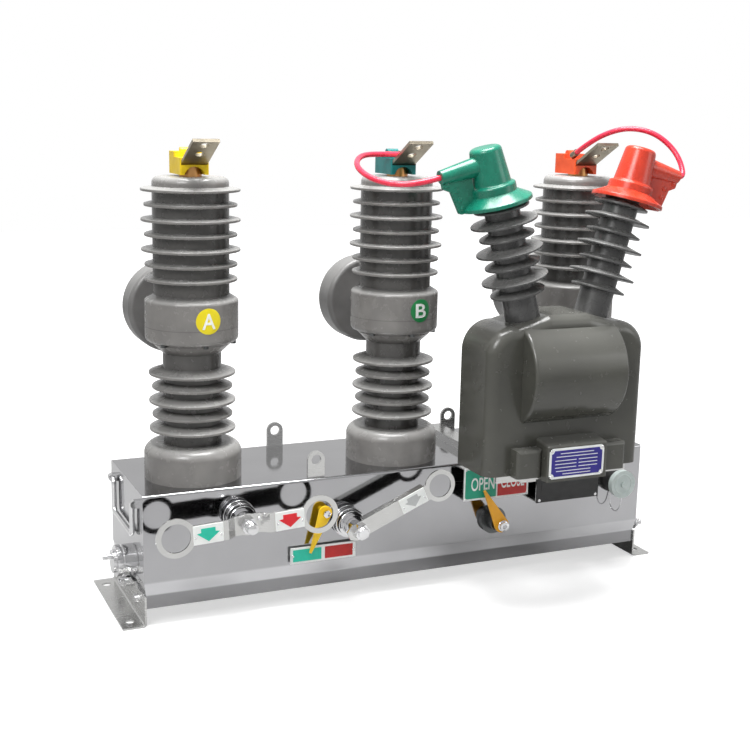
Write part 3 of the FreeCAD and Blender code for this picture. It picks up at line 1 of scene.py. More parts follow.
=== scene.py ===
# %% [markdown]
# A pole mounted recloser is a switch for overhead lines. Three insulator poles stand on a
# polished steel box, hook stick levers hang on its front, and a cast voltage transformer with
# two tilted bushings sits before the right hand pole. This lesson dresses its CAD frame.

import bpy
import numpy as np
from mathutils import Matrix, Vector


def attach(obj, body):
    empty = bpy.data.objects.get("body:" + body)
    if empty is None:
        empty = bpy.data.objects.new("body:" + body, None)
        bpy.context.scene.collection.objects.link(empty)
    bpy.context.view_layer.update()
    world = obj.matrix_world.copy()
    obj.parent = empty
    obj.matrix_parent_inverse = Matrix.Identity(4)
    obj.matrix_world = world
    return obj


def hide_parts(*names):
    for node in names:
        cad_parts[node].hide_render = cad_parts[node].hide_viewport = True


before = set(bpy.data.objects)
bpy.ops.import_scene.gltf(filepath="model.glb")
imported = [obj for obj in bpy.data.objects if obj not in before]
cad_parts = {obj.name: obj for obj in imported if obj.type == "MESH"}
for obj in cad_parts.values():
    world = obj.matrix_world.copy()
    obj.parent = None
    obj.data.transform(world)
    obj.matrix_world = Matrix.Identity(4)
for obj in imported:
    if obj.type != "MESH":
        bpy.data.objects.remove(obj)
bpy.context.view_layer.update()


mm = 0.001

# %% [markdown]
# The places below are in millimetres and repeat what the CAD pieces have, so a dressed piece
# sits where the plain one stood. The poles share one X pitch and one Y, the levers turn about
# their spindles, and both bushings stand in one plane and lean outwards by one angle.

# %% Shared places
PHASES = {"a": -340, "b": 0, "c": 340}
POLE_Y = -18
HOUSING_R = 71.0
CLAMP_R = 63.5
MANUAL, CHARGE = (-296, -166, 162), (-117.5, -166, 134)
MANUAL_TILT, CHARGE_TILT = 3, 22.9
BUSH_Y, BUSH_FOOT_Z, BUSH_TILT = -208, 462.5, 15
GROUND_Z = 37
BODY = "recloser"
print("pole pitch", PHASES["c"] - PHASES["b"], "mm")

# %% [markdown]
# The camera stands left of the object and a little above it, with a long lens. Its place comes
# from the edges of the box and the rims of the sheds in the picture, so the whole object falls
# where it is seen there. A camera looks down its own -Z, with +Y up and +X to the right.

# %% Camera
CAMERA_AT = np.array([-853.0, -1855.2, 768.5]) * mm
YAW, PITCH, ROLL = 0.4205, 0.2078, 0.0211
LENS = 60.07


def add_camera():
    """Camera from yaw, pitch and roll: look direction, level right, then rolled right and up."""
    look = np.array([np.sin(YAW) * np.cos(PITCH), np.cos(YAW) * np.cos(PITCH), -np.sin(PITCH)])
    level = np.array([np.cos(YAW), -np.sin(YAW), 0.0])
    upright = np.cross(level, look)
    right = np.cos(ROLL) * level + np.sin(ROLL) * upright
    up = np.cos(ROLL) * upright - np.sin(ROLL) * level
    data = bpy.data.cameras.new("camera")
    data.lens = LENS
    data.sensor_width = 36.0
    camera = bpy.data.objects.new("camera", data)
    turn = np.eye(4)
    turn[:3, 0], turn[:3, 1], turn[:3, 2], turn[:3, 3] = right, up, -look, CAMERA_AT
    camera.matrix_world = Matrix(turn.tolist())
    bpy.context.scene.collection.objects.link(camera)
    bpy.context.scene.camera = camera
    print("camera", [round(v, 3) for v in CAMERA_AT])


add_camera()

# %% [markdown]
# Colours are written as they look on screen, from 0 to 255, and a shader wants linear light.
# One small function does that, so each finish below can be read against the picture.

# %% Colour and node helpers
def tint(red, green, blue):
    """Screen colour to linear light: the sRGB curve, channel by channel."""
    c = np.array([red, green, blue]) / 255.0
    linear = np.where(c <= 0.04045, c / 12.92, ((c + 0.055) / 1.055) ** 2.4)
    return (*map(float, linear), 1.0)


def put(tree, socket, value):
    """Join a socket if the value is an output, or set it if it is a number or colour."""
    if isinstance(value, bpy.types.NodeSocket):
        tree.links.new(value, socket)
    else:
        socket.default_value = value


def add_node(tree, kind, operation=None, **values):
    """A node, with its sockets given by name or by number."""
    node = tree.nodes.new(kind)
    if operation:
        node.operation = operation
    for key, value in values.items():
        key = key.replace("_", " ")
        put(tree, node.inputs[int(key) if key.isdigit() else key], value)
    return node


def two_in(tree, operation, first, second):
    """A Math node on two values."""
    node = add_node(tree, "ShaderNodeMath", operation, **{"0": first, "1": second})
    return node.outputs["Value"]


def blended(tree, factor, first, second, blend="MIX"):
    """Two colours mixed by a factor, or multiplied."""
    mix = tree.nodes.new("ShaderNodeMix")
    mix.data_type, mix.blend_type = "RGBA", blend
    for key, value in (("Factor", factor), ("A", first), ("B", second)):
        put(tree, mix.inputs[key], value)
    return mix.outputs["Result"]


class Shader:
    """A material under construction, with short calls to add and join nodes."""

    def __init__(self, name):
        self.material = bpy.data.materials.new(name)
        self.material.use_nodes = True
        self.tree = self.material.node_tree
        self.bsdf = self.tree.nodes["Principled BSDF"]

    def add(self, kind, operation=None, **values):
        """A node of this material."""
        return add_node(self.tree, kind, operation, **values)

    def group(self, effect, **values):
        """One of the shared effects, with its own values."""
        node = self.tree.nodes.new("ShaderNodeGroup")
        node.node_tree = effect
        for key, value in values.items():
            put(self.tree, node.inputs[key.replace("_", " ")], value)
        return node

    def finish(self, **values):
        """Set or join the main shader's own sockets."""
        for key, value in values.items():
            put(self.tree, self.bsdf.inputs[key.replace("_", " ")], value)
        return self.material

    def dress(self, effect, colour=None, **values):
        """Take roughness and normal from an effect, and its colour unless another is given."""
        self.finish(Base_Color=colour or effect.outputs["Color"], **values)
        return self.finish(Roughness=effect.outputs["Roughness"], Normal=effect.outputs["Normal"])


# %% [markdown]
# Two effects come back on many finishes. Cast resin, rubber and paint all have fine mottling in
# tone and gloss with a faint orange peel, and a paler painted top light on faces turned up, and
# rolled or polished steel has long fine scratches with soft smudges. Each becomes a node group,
# built once and placed with its own values. A third group is a mask for the poles: the columns
# between the sheds, which take painted shade, and the parting line.

# %% Shared effects
# Paler tone mixed into faces turned up: painted light from above.
PAINTED_TOP_LIGHT = (0.42, 0.42, 0.41, 1)
PARTING_Z = 443.5


def new_group(name, inputs, outputs):
    """A node group with named float or colour sockets, and its two end nodes."""
    tree = bpy.data.node_groups.new(name, "ShaderNodeTree")
    for label, kind, value in inputs:
        socket = tree.interface.new_socket(label, in_out="INPUT", socket_type=kind)
        socket.default_value = value
    for label, kind in outputs:
        tree.interface.new_socket(label, in_out="OUTPUT", socket_type=kind)
    return tree, tree.nodes.new("NodeGroupInput"), tree.nodes.new("NodeGroupOutput")


def noise_in(tree, coordinates, scale, detail=3.0, stretch=(1, 1, 1)):
    """Noise on object coordinates, stretched by a Mapping node."""
    mapping = add_node(tree, "ShaderNodeMapping", Vector=coordinates, Scale=stretch)
    noise = add_node(tree, "ShaderNodeTexNoise", Vector=mapping.outputs["Vector"], Scale=scale,
                     Detail=detail)
    return noise.outputs["Fac"]


def spread(tree, value, start, end, low=0.0, high=1.0):
    """Map a value from start and end to low and high, and hold it there beyond them."""
    return add_node(tree, "ShaderNodeMapRange", Value=value, From_Min=start, From_Max=end,
                    To_Min=low, To_Max=high).outputs["Result"]


def range_in(tree, value, low, high):
    """Spread the middle of a noise over a range of its own."""
    return spread(tree, value, 0.3, 0.7, low, high)


def surface_group(name, light, dark, gloss, *extras):
    """A group with two tones, two gloss levels and extra values, and the three surface outputs."""
    colour, number = "NodeSocketColor", "NodeSocketFloat"
    inputs = [("Light", colour, (light, light, light, 1)), ("Dark", colour, (dark, dark, dark, 1)),
              ("Gloss low", number, gloss[0]), ("Gloss high", number, gloss[1])]
    inputs += [(label, number, value) for label, value in extras]
    return new_group(name, inputs, [("Color", colour), ("Roughness", number),
                                    ("Normal", "NodeSocketVector")])


def add_bump(tree, strength, height, distance, end):
    """A bump of one distance, put out as the group's normal."""
    bump = add_node(tree, "ShaderNodeBump", Strength=strength, Height=height, Distance=distance)
    tree.links.new(bump.outputs["Normal"], end.inputs["Normal"])


def make_mottle():
    """Mottled tone, gloss and peel for resin, rubber and paint, with painted top light where it
    faces up.
    """
    tree, start, end = surface_group("mottle", 0.5, 0.4, (0.35, 0.5), ("Size", 40.0),
                                     ("Peel", 0.02), ("Dust", 0.0))
    given = start.outputs
    place = add_node(tree, "ShaderNodeTexCoord").outputs
    broad = range_in(tree, noise_in(tree, place["Object"], given["Size"]), 0.0, 1.0)
    tone = blended(tree, broad, given["Dark"], given["Light"])
    # Faces turned up are mixed towards the pale tone as painted top light.
    facing = add_node(tree, "ShaderNodeSeparateXYZ", Vector=place["Normal"]).outputs["Z"]
    top_lit = spread(tree, facing, 0.1, 0.9, 0.0, given["Dust"])
    tree.links.new(blended(tree, top_lit, tone, PAINTED_TOP_LIGHT), end.inputs["Color"])
    gloss = range_in(tree, noise_in(tree, place["Object"], 70.0), given["Gloss low"],
                     given["Gloss high"])
    tree.links.new(gloss, end.inputs["Roughness"])
    add_bump(tree, given["Peel"], noise_in(tree, place["Object"], 160.0, 1.0), 0.4 * mm, end)
    return tree


def make_polish():
    """Rolled steel: long scratches along one axis, soft smudges, faint waviness."""
    tree, start, end = surface_group("polish", 0.6, 0.5, (0.1, 0.25), ("Waves", 0.05))
    given = start.outputs
    place = add_node(tree, "ShaderNodeTexCoord").outputs["Object"]
    smudge = range_in(tree, noise_in(tree, place, 9.0, 4.0), 0.0, 1.0)
    tree.links.new(blended(tree, smudge, given["Dark"], given["Light"]), end.inputs["Color"])
    scratches = noise_in(tree, place, 60.0, 5.0, (0.35, 1.0, 14.0))
    gloss = range_in(tree, scratches, given["Gloss low"], given["Gloss high"])
    tree.links.new(gloss, end.inputs["Roughness"])
    add_bump(tree, given["Waves"], noise_in(tree, place, 6.0, 1.0), 0.6 * mm, end)
    return tree


def make_shade_and_parting():
    """Mask of the columns between the sheds: one where the distance from the nearest pole's axis
    is within a few millimetres of the column's own radius, which is smaller below the housings.
    The mould's parting line, one thin level band round each housing, is added to it."""
    tree, start, end = new_group("shade_and_parting", [("Reach", "NodeSocketFloat", 9 * mm)],
                                 [("Mask", "NodeSocketFloat")])
    place = add_node(tree, "ShaderNodeTexCoord").outputs["Object"]
    x, y, z = add_node(tree, "ShaderNodeSeparateXYZ", Vector=place).outputs
    across = two_in(tree, "PINGPONG", x, PHASES["c"] / 2 * mm)
    along = two_in(tree, "SUBTRACT", y, POLE_Y * mm)
    flat = add_node(tree, "ShaderNodeCombineXYZ", X=across, Y=along).outputs["Vector"]
    radius = add_node(tree, "ShaderNodeVectorMath", "LENGTH", **{"0": flat}).outputs["Value"]
    column = spread(tree, z, 440 * mm, 445 * mm, 45.5 * mm, 58 * mm)
    near = spread(tree, two_in(tree, "SUBTRACT", radius, column), 1 * mm,
                  start.outputs["Reach"], 1.0, 0.0)
    under_cap = spread(tree, z, 644 * mm, 650 * mm, 1.0, 0.0)
    level = add_node(tree, "ShaderNodeMath", "ABSOLUTE",
                     **{"0": two_in(tree, "SUBTRACT", z, PARTING_Z * mm)}).outputs["Value"]
    line = spread(tree, level, 0.3 * mm, 1.1 * mm, 0.55, 0.0)
    mask = two_in(tree, "MAXIMUM", two_in(tree, "MULTIPLY", near, under_cap), line)
    tree.links.new(mask, end.inputs["Mask"])
    return tree


MOTTLE = make_mottle()
SHADE_AND_PARTING = make_shade_and_parting()
POLISH = make_polish()
print("effects", [g.name for g in bpy.data.node_groups])

# %% [markdown]
# Resin, rubber and paint differ in two tones, gloss and peel, and steel in tone and gloss. A
# short function per family keeps each finish on one line of a table.

# %% Finishes
# The dust argument sets the share of painted top light: a paler tone on faces turned up.
def cast(name, light, dark, size=40.0, gloss=(0.35, 0.5), peel=0.15, dust=0.0):
    """A moulded or painted finish from the mottle."""
    shader = Shader(name)
    return shader.dress(shader.group(MOTTLE, Light=tint(*light), Dark=tint(*dark), Size=size,
                                     Gloss_low=gloss[0], Gloss_high=gloss[1], Peel=peel,
                                     Dust=dust))


def pole_resin():
    """The poles' grey: painted top light on faces turned up, painted shade on the columns between
    the sheds, and a dark parting line.
    """
    shader = Shader("pole resin")
    mottle = shader.group(MOTTLE, Light=tint(128, 126, 123), Dark=tint(114, 112, 110), Size=30.0,
                          Gloss_low=0.2, Gloss_high=0.3, Peel=0.03, Dust=0.5)
    shade_and_parting = shader.group(SHADE_AND_PARTING, Reach=9 * mm).outputs["Mask"]
    part = two_in(shader.tree, "MULTIPLY", shade_and_parting, 0.6)
    # Painted shade: the mask mixes the columns between the sheds towards near black, and the
    # parting line the same way.
    shade_and_parting_tone = blended(shader.tree, part, mottle.outputs["Color"], tint(34, 34, 33))
    return shader.dress(mottle, shade_and_parting_tone)


def polished(shader, light, dark, gloss, waves):
    """The polish with its two tones, gloss and waviness, in one material."""
    return shader.group(POLISH, Light=tint(*light), Dark=tint(*dark), Gloss_low=gloss[0],
                        Gloss_high=gloss[1], Waves=waves)


def metal(name, light, dark, gloss=(0.1, 0.25), waves=0.05):
    """A bare metal finish from the polish."""
    shader = Shader(name)
    return shader.dress(polished(shader, light, dark, gloss, waves), Metallic=1.0)


def panel_steel():
    """Mirror-polished sheet with painted reflection by height: the fold above the foot band is
    painted bright, and the band and the panel above it darker.
    """
    shader = Shader("panel steel")
    polish = polished(shader, (206, 206, 208), (196, 196, 198), (0.06, 0.12), 0.1)
    place = shader.add("ShaderNodeTexCoord").outputs["Object"]
    height = shader.add("ShaderNodeSeparateXYZ", Vector=place).outputs["Z"]
    # Painted reflection: a ramp on height brightens the fold and darkens the foot band and the
    # panel.
    ramp = shader.add("ShaderNodeValToRGB", Fac=spread(shader.tree, height, 28 * mm, 78 * mm))
    stops = ramp.color_ramp.elements
    for stop, (position, level) in zip((stops[0], stops[1]), ((0.40, 0.44), (0.86, 0.66))):
        stop.position, stop.color = position, (level, level, level, 1)
    for position in (0.45, 0.80):
        stops.new(position).color = (1, 1, 1, 1)
    painted_reflection_tone = blended(shader.tree, 1.0, polish.outputs["Color"], ramp.outputs["Color"], "MULTIPLY")
    return shader.dress(polish, painted_reflection_tone, Metallic=1.0)


def two_tone(name, front, back, axis, low, high, source="Normal", gloss=(0.14, 0.28)):
    """Metal that passes from one tone to another along an axis of its normal or its place."""
    shader = Shader(name)
    polish = polished(shader, front, [c * 0.92 for c in front], gloss, 0.06)
    kind = "ShaderNodeNewGeometry" if source == "Normal" else "ShaderNodeTexCoord"
    parts = shader.add("ShaderNodeSeparateXYZ", Vector=shader.add(kind).outputs[source])
    fade = spread(shader.tree, parts.outputs[axis], low, high)
    tone = blended(shader.tree, fade, polish.outputs["Color"], tint(*back))
    return shader.dress(polish, tone, Metallic=1.0)


FINISH = {
    # Lever steel darkens where its normal points back towards the panel: painted shade on the
    # lever backs.
    "lever steel with painted shade": two_tone("lever steel with painted shade", (205, 205, 203), (44, 44, 44), "Y", 0.3, 0.6),
    "terminal metal": two_tone("terminal metal", (196, 146, 92), (158, 150, 134), "Z", 684 * mm,
                               688 * mm, "Object", (0.28, 0.42)),
    "panel steel": panel_steel(),
    "plate steel": metal("plate steel", (205, 205, 203), (188, 188, 187), (0.16, 0.3), 0.1),
    "bright steel": metal("bright steel", (225, 225, 226), (205, 205, 206), (0.08, 0.18), 0.05),
    "tinned copper": metal("tinned copper", (150, 142, 126), (126, 117, 102), (0.3, 0.45), 0.1),
    "pole resin": pole_resin(),
    "ring resin": cast("ring resin", (112, 111, 110), (98, 97, 96), 30.0, (0.3, 0.42), 0.03, 0.2),
    "dark resin": cast("dark resin", (76, 76, 70), (68, 68, 63), 12.0, (0.2, 0.28), 0.03, 0.12),
    "bushing resin": cast("bushing resin", (80, 80, 79), (68, 68, 68), 30.0, (0.22, 0.32), 0.03,
                          0.3),
    "yellow cover": cast("yellow cover", (238, 205, 12), (222, 188, 6), 50.0, (0.35, 0.5)),
    "teal cover": cast("teal cover", (14, 120, 118), (8, 100, 100), 50.0, (0.3, 0.42)),
    "orange cover": cast("orange cover", (228, 88, 40), (212, 74, 30), 50.0, (0.32, 0.45)),
    "green rubber": cast("green rubber", (20, 122, 98), (14, 104, 84), 45.0, (0.2, 0.32)),
    "red rubber": cast("red rubber", (202, 62, 38), (184, 50, 30), 45.0, (0.2, 0.32)),
    "lead rubber": cast("lead rubber", (238, 58, 84), (226, 44, 70), 60.0, (0.22, 0.32)),
    "ceramic": cast("ceramic", (225, 224, 220), (212, 210, 206)),
    "rod resin": cast("rod resin", (190, 170, 130), (175, 155, 118)),
    "pointer paint": cast("pointer paint", (238, 170, 34), (224, 156, 24), 60.0, (0.28, 0.4)),
    "pointer yellow": cast("pointer yellow", (246, 204, 20), (236, 190, 14), 60.0, (0.28, 0.4)),
    "sign white": cast("sign white", (236, 238, 236), (226, 228, 226), 60.0, (0.3, 0.4), 0.05),
    "black plate": cast("black plate", (38, 38, 38), (28, 28, 28), 60.0, (0.35, 0.5), 0.1),
    "socket black": cast("socket black", (44, 44, 44), (32, 32, 32), 60.0, (0.4, 0.55), 0.1),
    "cap plastic": cast("cap plastic", (214, 224, 221), (202, 214, 211), 60.0, (0.25, 0.4), 0.1),
    "mark yellow": cast("mark yellow", (232, 214, 26), (222, 202, 18), 60.0, (0.3, 0.42)),
    "mark green": cast("mark green", (30, 128, 70), (22, 116, 62), 60.0, (0.3, 0.42)),
    "arrow teal": cast("arrow teal", (28, 196, 168), (20, 182, 154), 60.0, (0.3, 0.42)),
    "arrow red": cast("arrow red", (222, 20, 36), (206, 14, 28), 60.0, (0.3, 0.42)),
    "arrow grey": cast("arrow grey", (188, 190, 190), (176, 178, 178), 60.0, (0.35, 0.5)),
    "sign green": cast("sign green", (14, 152, 120), (8, 140, 110), 60.0, (0.3, 0.42)),
    "sign red": cast("sign red", (190, 28, 22), (174, 20, 16), 60.0, (0.3, 0.42)),
    "plate blue": cast("plate blue", (38, 28, 132), (30, 22, 120), 60.0, (0.3, 0.42)),
    "dull steel": metal("dull steel", (110, 112, 112), (80, 82, 82), (0.25, 0.4), 0.05),
}
print("finishes", len(FINISH))

# %% [markdown]
# The CAD pieces keep their meshes and only get a finish, by name. A table of finishes with the
# pieces that wear them shows at a glance which piece was forgotten, and the cell prints it.

# %% Finishes on the CAD pieces
WEARS = {
    "panel steel": ["base_enclosure"],
    "plate steel": ["bottom_cover", "foot_left", "foot_right", "plate_brackets", "vt_rails",
                    "vt_bed", "lifting_lugs"],
    "lever steel with painted shade": ["manual_lever", "charging_lever"],
    "dull steel": ["position_bearing"],
    "terminal metal": ["top_terminals"],
    "bright steel": ["main_shaft", "shaft_bearings", "lever_bosses", "manual_spindle",
                     "charging_spindle", "position_shaft", "bail_left", "bail_right",
                     "bail_brackets", "trip_fitting", "trip_rod", "end_bolts", "cap_lanyard"],
    "tinned copper": ["rear_conductors", "lead_lugs"],
    "pole resin": [f"pole_{part}_{x}" for part in ("upper", "lower") for x in "abc"],
    "ring resin": [f"current_transformer_{x}" for x in "abc"],
    "dark resin": ["vt_body", "vt_terminal_box"],
    "bushing resin": ["vt_bushing_left", "vt_bushing_right"],
    "yellow cover": ["terminal_cover_a"],
    "teal cover": ["terminal_cover_b"],
    "orange cover": ["terminal_cover_c"],
    "green rubber": ["vt_hood_left"],
    "red rubber": ["vt_hood_right"],
    "lead rubber": ["lead_b", "lead_c"],
    "ceramic": ["vacuum_interrupters"],
    "rod resin": ["pull_rod_a", "pull_rod_b", "pull_rod_c"],
    "pointer paint": ["position_pointer"],
    "pointer yellow": ["charge_pointer"],
    "sign white": ["charge_plate", "position_sign"],
    "black plate": ["nameplate"],
    "socket black": ["connector_socket"],
    "cap plastic": ["connector_cap"],
}


def wear(name, finish):
    """Give a CAD piece one finish in every slot."""
    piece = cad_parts[name]
    if not piece.material_slots:
        piece.data.materials.append(FINISH[finish])
    for slot in piece.material_slots:
        slot.material = FINISH[finish]


for finish, names in WEARS.items():
    for name in names:
        wear(name, finish)
missing = set(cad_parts) - {n for names in WEARS.values() for n in names}
print("without a finish", sorted(missing))

# %% [markdown]
# The leads are single wires in thick red rubber, and the dust cap hangs on a thin wire. All
# three are seen from end to end, so their lengths are what the route measures. Each follows one
# smooth curve whose control points are the points of the CAD route. A lead starts at its cable
# lug and ends in the hood's horn, and the wire runs from the socket to the cap.

# %% Leads
LEAD_B = [(-4.2, -32, 702), (-44, -33, 703), (-84, -60, 701), (-110, -105, 688), (-108, -148, 673),
          (-85, -182, 664), (-49.1, -208, 667.1), (-10.4, -208, 677.5)]
LEAD_C = [(324, -36.8, 707.7), (324, -64.3, 721.5), (337, -100, 741), (362, -128, 751),
          (393, -153, 744), (416, -172, 722), (423, -190, 697), (416, -208, 671.7),
          (394.4, -208, 677.5)]
LANYARD = [(381, -109, 128.7), (380, -111, 113), (379, -119, 101), (379, -131, 97.5),
           (380, -141, 106), (381, -144, 117), (381, -144, 126.7)]


def smooth_cord(name, route, radius, finish):
    """A quadratic NURBS line through the two ends, pulled by the points between."""
    data = bpy.data.curves.new(name, "CURVE")
    data.dimensions = "3D"
    data.bevel_depth = radius
    data.bevel_resolution = 6
    data.resolution_u = 16
    data.use_fill_caps = True
    line = data.splines.new("NURBS")
    line.points.add(len(route) - 1)
    places = np.column_stack([np.array(route) * mm, np.ones(len(route))])
    line.points.foreach_set("co", places.ravel())
    line.order_u = 3
    line.use_endpoint_u = True
    piece = bpy.data.objects.new(name, data)
    bpy.context.scene.collection.objects.link(piece)
    data.materials.append(FINISH[finish])
    return piece


def lay_cord(name, node, route, radius, finish):
    """Lay a cord along its route, hide the CAD piece that it replaces, and attach it to the
    object.
    """
    piece = smooth_cord(name, route, radius, finish)
    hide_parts(node)
    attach(piece, BODY)


LEAD_R, WIRE_R = 4.3 * mm, 0.8 * mm
lay_cord("lead_to_green_hood", "lead_b", LEAD_B, LEAD_R, "lead rubber")
lay_cord("lead_to_red_hood", "lead_c", LEAD_C, LEAD_R, "lead rubber")
lay_cord("dust_cap_lanyard", "cap_lanyard", LANYARD, WIRE_R, "bright steel")
print("cords laid", 3)

# %% [markdown]
# The small pieces below are sheets and turned shapes that a CAD model would carry as blanks.
# Each starts as a grid of points: rows of rings, worked out for all rows at once. A local
# frame then stands the grid on its surface, with u to the right, v up and w outwards.

# %% Surface helpers
def spot(u, v, w, centre, tilt=0.0, facing=(0, -1, 0)):
    """Local points in millimetres to world metres: u and v turn by the tilt, w points outwards."""
    out = np.array(facing, float)
    out /= np.linalg.norm(out)
    side = np.cross((0, 0, 1) if abs(out[2]) < 0.9 else (0, 1, 0), out)
    side /= np.linalg.norm(side)
    above, t = np.cross(out, side), np.radians(tilt)
    right, up = side * np.cos(t) + above * np.sin(t), above * np.cos(t) - side * np.sin(t)
    return (np.array(centre) + u[..., None] * right + v[..., None] * up + w[..., None] * out) * mm


def skin(name, grids, finish, body=BODY, loop=False, angle=35):
    """Closed shells from grids of rings: quads between rings, ends capped or joined in a loop."""
    points, faces, base = [], [], 0
    for grid in grids:
        rows, columns = grid.shape[:2]
        r = np.arange(rows if loop else rows - 1)[:, None]
        c = np.arange(columns)[None, :]
        low, high, after = r * columns, (r + 1) % rows * columns, (c + 1) % columns
        quads = np.stack([low + c, low + after, high + after, high + c], -1).reshape(-1, 4)
        flat = grid.reshape(-1, 3)
        middle = flat - flat.mean(0)
        a, b, d = (middle[quads[:, i]] for i in (0, 1, 2))
        volume = np.einsum("ij,ij->i", a, np.cross(b, d)).sum()
        ring = np.arange(columns)
        ends = [] if loop else [ring[::-1], ring + (rows - 1) * columns]
        turn = 1 if volume > 0 else -1
        faces += [(q[::turn] + base).tolist() for q in [*quads, *ends]]
        points.append(flat)
        base += len(flat)
    data = bpy.data.meshes.new(name)
    data.from_pydata(np.concatenate(points).tolist(), [], faces)
    data.materials.append(FINISH[finish])
    data.polygons.foreach_set("use_smooth", np.ones(len(data.polygons), bool))
    data.set_sharp_from_angle(angle=np.radians(angle))
    return register(bpy.data.objects.new(name, data), body)


def register(piece, body=BODY):
    """Link a new piece and the body that it rides."""
    bpy.context.scene.collection.objects.link(piece)
    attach(piece, body)
    return piece


def turned(profile, centre, facing=(0, -1, 0), sides=48):
    """A profile of radius and height, carried round the local w axis."""
    radius, height = np.array(profile, float).T
    around = np.linspace(0, 2 * np.pi, sides, endpoint=False)
    u, v = radius[:, None] * np.cos(around), radius[:, None] * np.sin(around)
    return spot(u, v, height[:, None] + 0 * u, centre, 0, facing)


def dome(radius, height):
    """Profile of a domed rivet: a quarter ellipse from the rim up to the crown."""
    a = np.linspace(0, np.pi / 2 * 0.96, 6)
    rise = height * (0.25 + 0.75 * np.sin(a))
    return [(radius, 0), *np.column_stack([radius * np.cos(a), rise])]


def nut(across, height, bore, centre, facing=(0, -1, 0), turn=0.0, low=0.0):
    """Hexagon nut: the hexagon's radius at each angle, cut by a chamfer cone at both faces."""
    around = np.linspace(0, 2 * np.pi, 72, endpoint=False)
    wedge = (around + np.radians(30 + turn)) % np.radians(60) - np.radians(30)
    hexagon = across / 2 / np.cos(wedge)
    chamfer = np.minimum(hexagon, across / 2 * 1.02)
    drop = np.clip((hexagon - chamfer) * 0.6, 0, None)
    ring = np.full_like(around, bore)
    radius = np.stack([ring, chamfer, hexagon, hexagon, chamfer, ring])
    flat, top = 0 * ring, height + 0 * ring
    level = np.stack([flat, flat, drop, height - drop, top, top])
    return spot(radius * np.cos(around), radius * np.sin(around), level + low, centre, 0, facing)


def thread(radius, pitch, length, centre, facing=(0, -1, 0), depth=0.55):
    """Threaded bar: the radius rises and falls with height plus one pitch for each turn round."""
    around = np.linspace(0, 2 * np.pi, 48, endpoint=False)
    level = np.linspace(0, length, int(length / pitch * 10) + 2)[:, None]
    wave = np.abs((level / pitch + around / (2 * np.pi)) % 1.0 - 0.5) * 2
    fade = np.clip((length - level) / pitch, 0, 1)
    r = radius - depth * wave - (1 - fade) * depth
    return spot(r * np.cos(around), r * np.sin(around), level + 0 * r, centre, 0, facing)


def sheet(width, height, corner, thick, middle=(0, 0), bevel=0.15, notched=False, low=0.0):
    """Rings of a flat plate: an outline with round or notched corners, stepped in at its bevel."""
    quarter = np.linspace(0, np.pi / 2, 9)
    sx, sy = np.repeat([1, -1, -1, 1], 9), np.repeat([1, 1, -1, -1], 9)
    inset = np.array([0.0, 0.0, bevel])[:, None]
    if notched:
        aim, reach = 3 * np.pi / 2 - quarter, corner + inset
        x0, y0 = width / 2, height / 2
    else:
        aim, reach = quarter, corner - inset
        x0, y0 = width / 2 - corner, height / 2 - corner
    aim = np.concatenate([aim + i * np.pi / 2 for i in range(4)])
    u = sx * x0 + reach * np.cos(aim)
    v = sy * y0 + reach * np.sin(aim)
    if notched:
        u = np.clip(u, inset - width / 2, width / 2 - inset)
        v = np.clip(v, inset - height / 2, height / 2 - inset)
    w = np.array([0.0, thick - bevel, thick])[:, None] + 0 * u
    return u + middle[0], v + middle[1], w + low


def panel(name, outline, thick, place, finish, body=BODY, low=0.0):
    """A flat shape with its own corner points, as thick as given."""
    u, v = np.array(outline, float).T
    w = np.array([[low], [low + thick]])
    return skin(name, [place(u + 0 * w, v + 0 * w, w + 0 * u)], finish, body, angle=20)


def lettering(name, text, wide, high, place, finish, low=0.0, thick=0.25):
    """Letters: a text curve made mesh, fitted to a width and height, then stood on its surface."""
    curve = bpy.data.curves.new(name, "FONT")
    curve.body, curve.extrude, curve.offset = text, 0.02, 0.01
    source = bpy.data.objects.new(name + " text", curve)
    bpy.context.scene.collection.objects.link(source)
    bpy.context.view_layer.update()
    graph = bpy.context.evaluated_depsgraph_get()
    data = bpy.data.meshes.new_from_object(source.evaluated_get(graph))
    bpy.data.objects.remove(source)
    flat = np.empty(len(data.vertices) * 3)
    data.vertices.foreach_get("co", flat)
    flat = flat.reshape(-1, 3)
    span = np.ptp(flat, axis=0)
    flat = (flat - flat.min(0)) / span - (0.5, 0.5, 0)
    world = place(flat[:, 0] * wide, flat[:, 1] * high, flat[:, 2] * thick + low)
    data.vertices.foreach_set("co", world.ravel())
    data.name = name
    data.materials.clear()
    data.materials.append(FINISH[finish])
    return register(bpy.data.objects.new(name, data))


def at_place(centre, tilt=0.0):
    """A frame on a front face, as a function of local u, v and w."""
    return lambda u, v, w: spot(u, v, w, centre, tilt)


print("surface helpers ready")

# %% [markdown]
# Round marks with the phase letters sit on the housings of two poles. A mark is a thin disc
# bent round the housing: along the surface its width is an arc, so u becomes an angle. The
# same bend carries the letter, which lies a little higher.

# %% Phase marks
def bent(phase, azimuth, z):
    """Local u and v wrapped on a housing: u over the radius is the angle round the pole."""
    def place(u, v, w):
        a = np.radians(azimuth) + u / HOUSING_R
        r = HOUSING_R + w
        return np.stack([PHASES[phase] + r * np.sin(a), POLE_Y - r * np.cos(a), z + v], -1) * mm
    return place


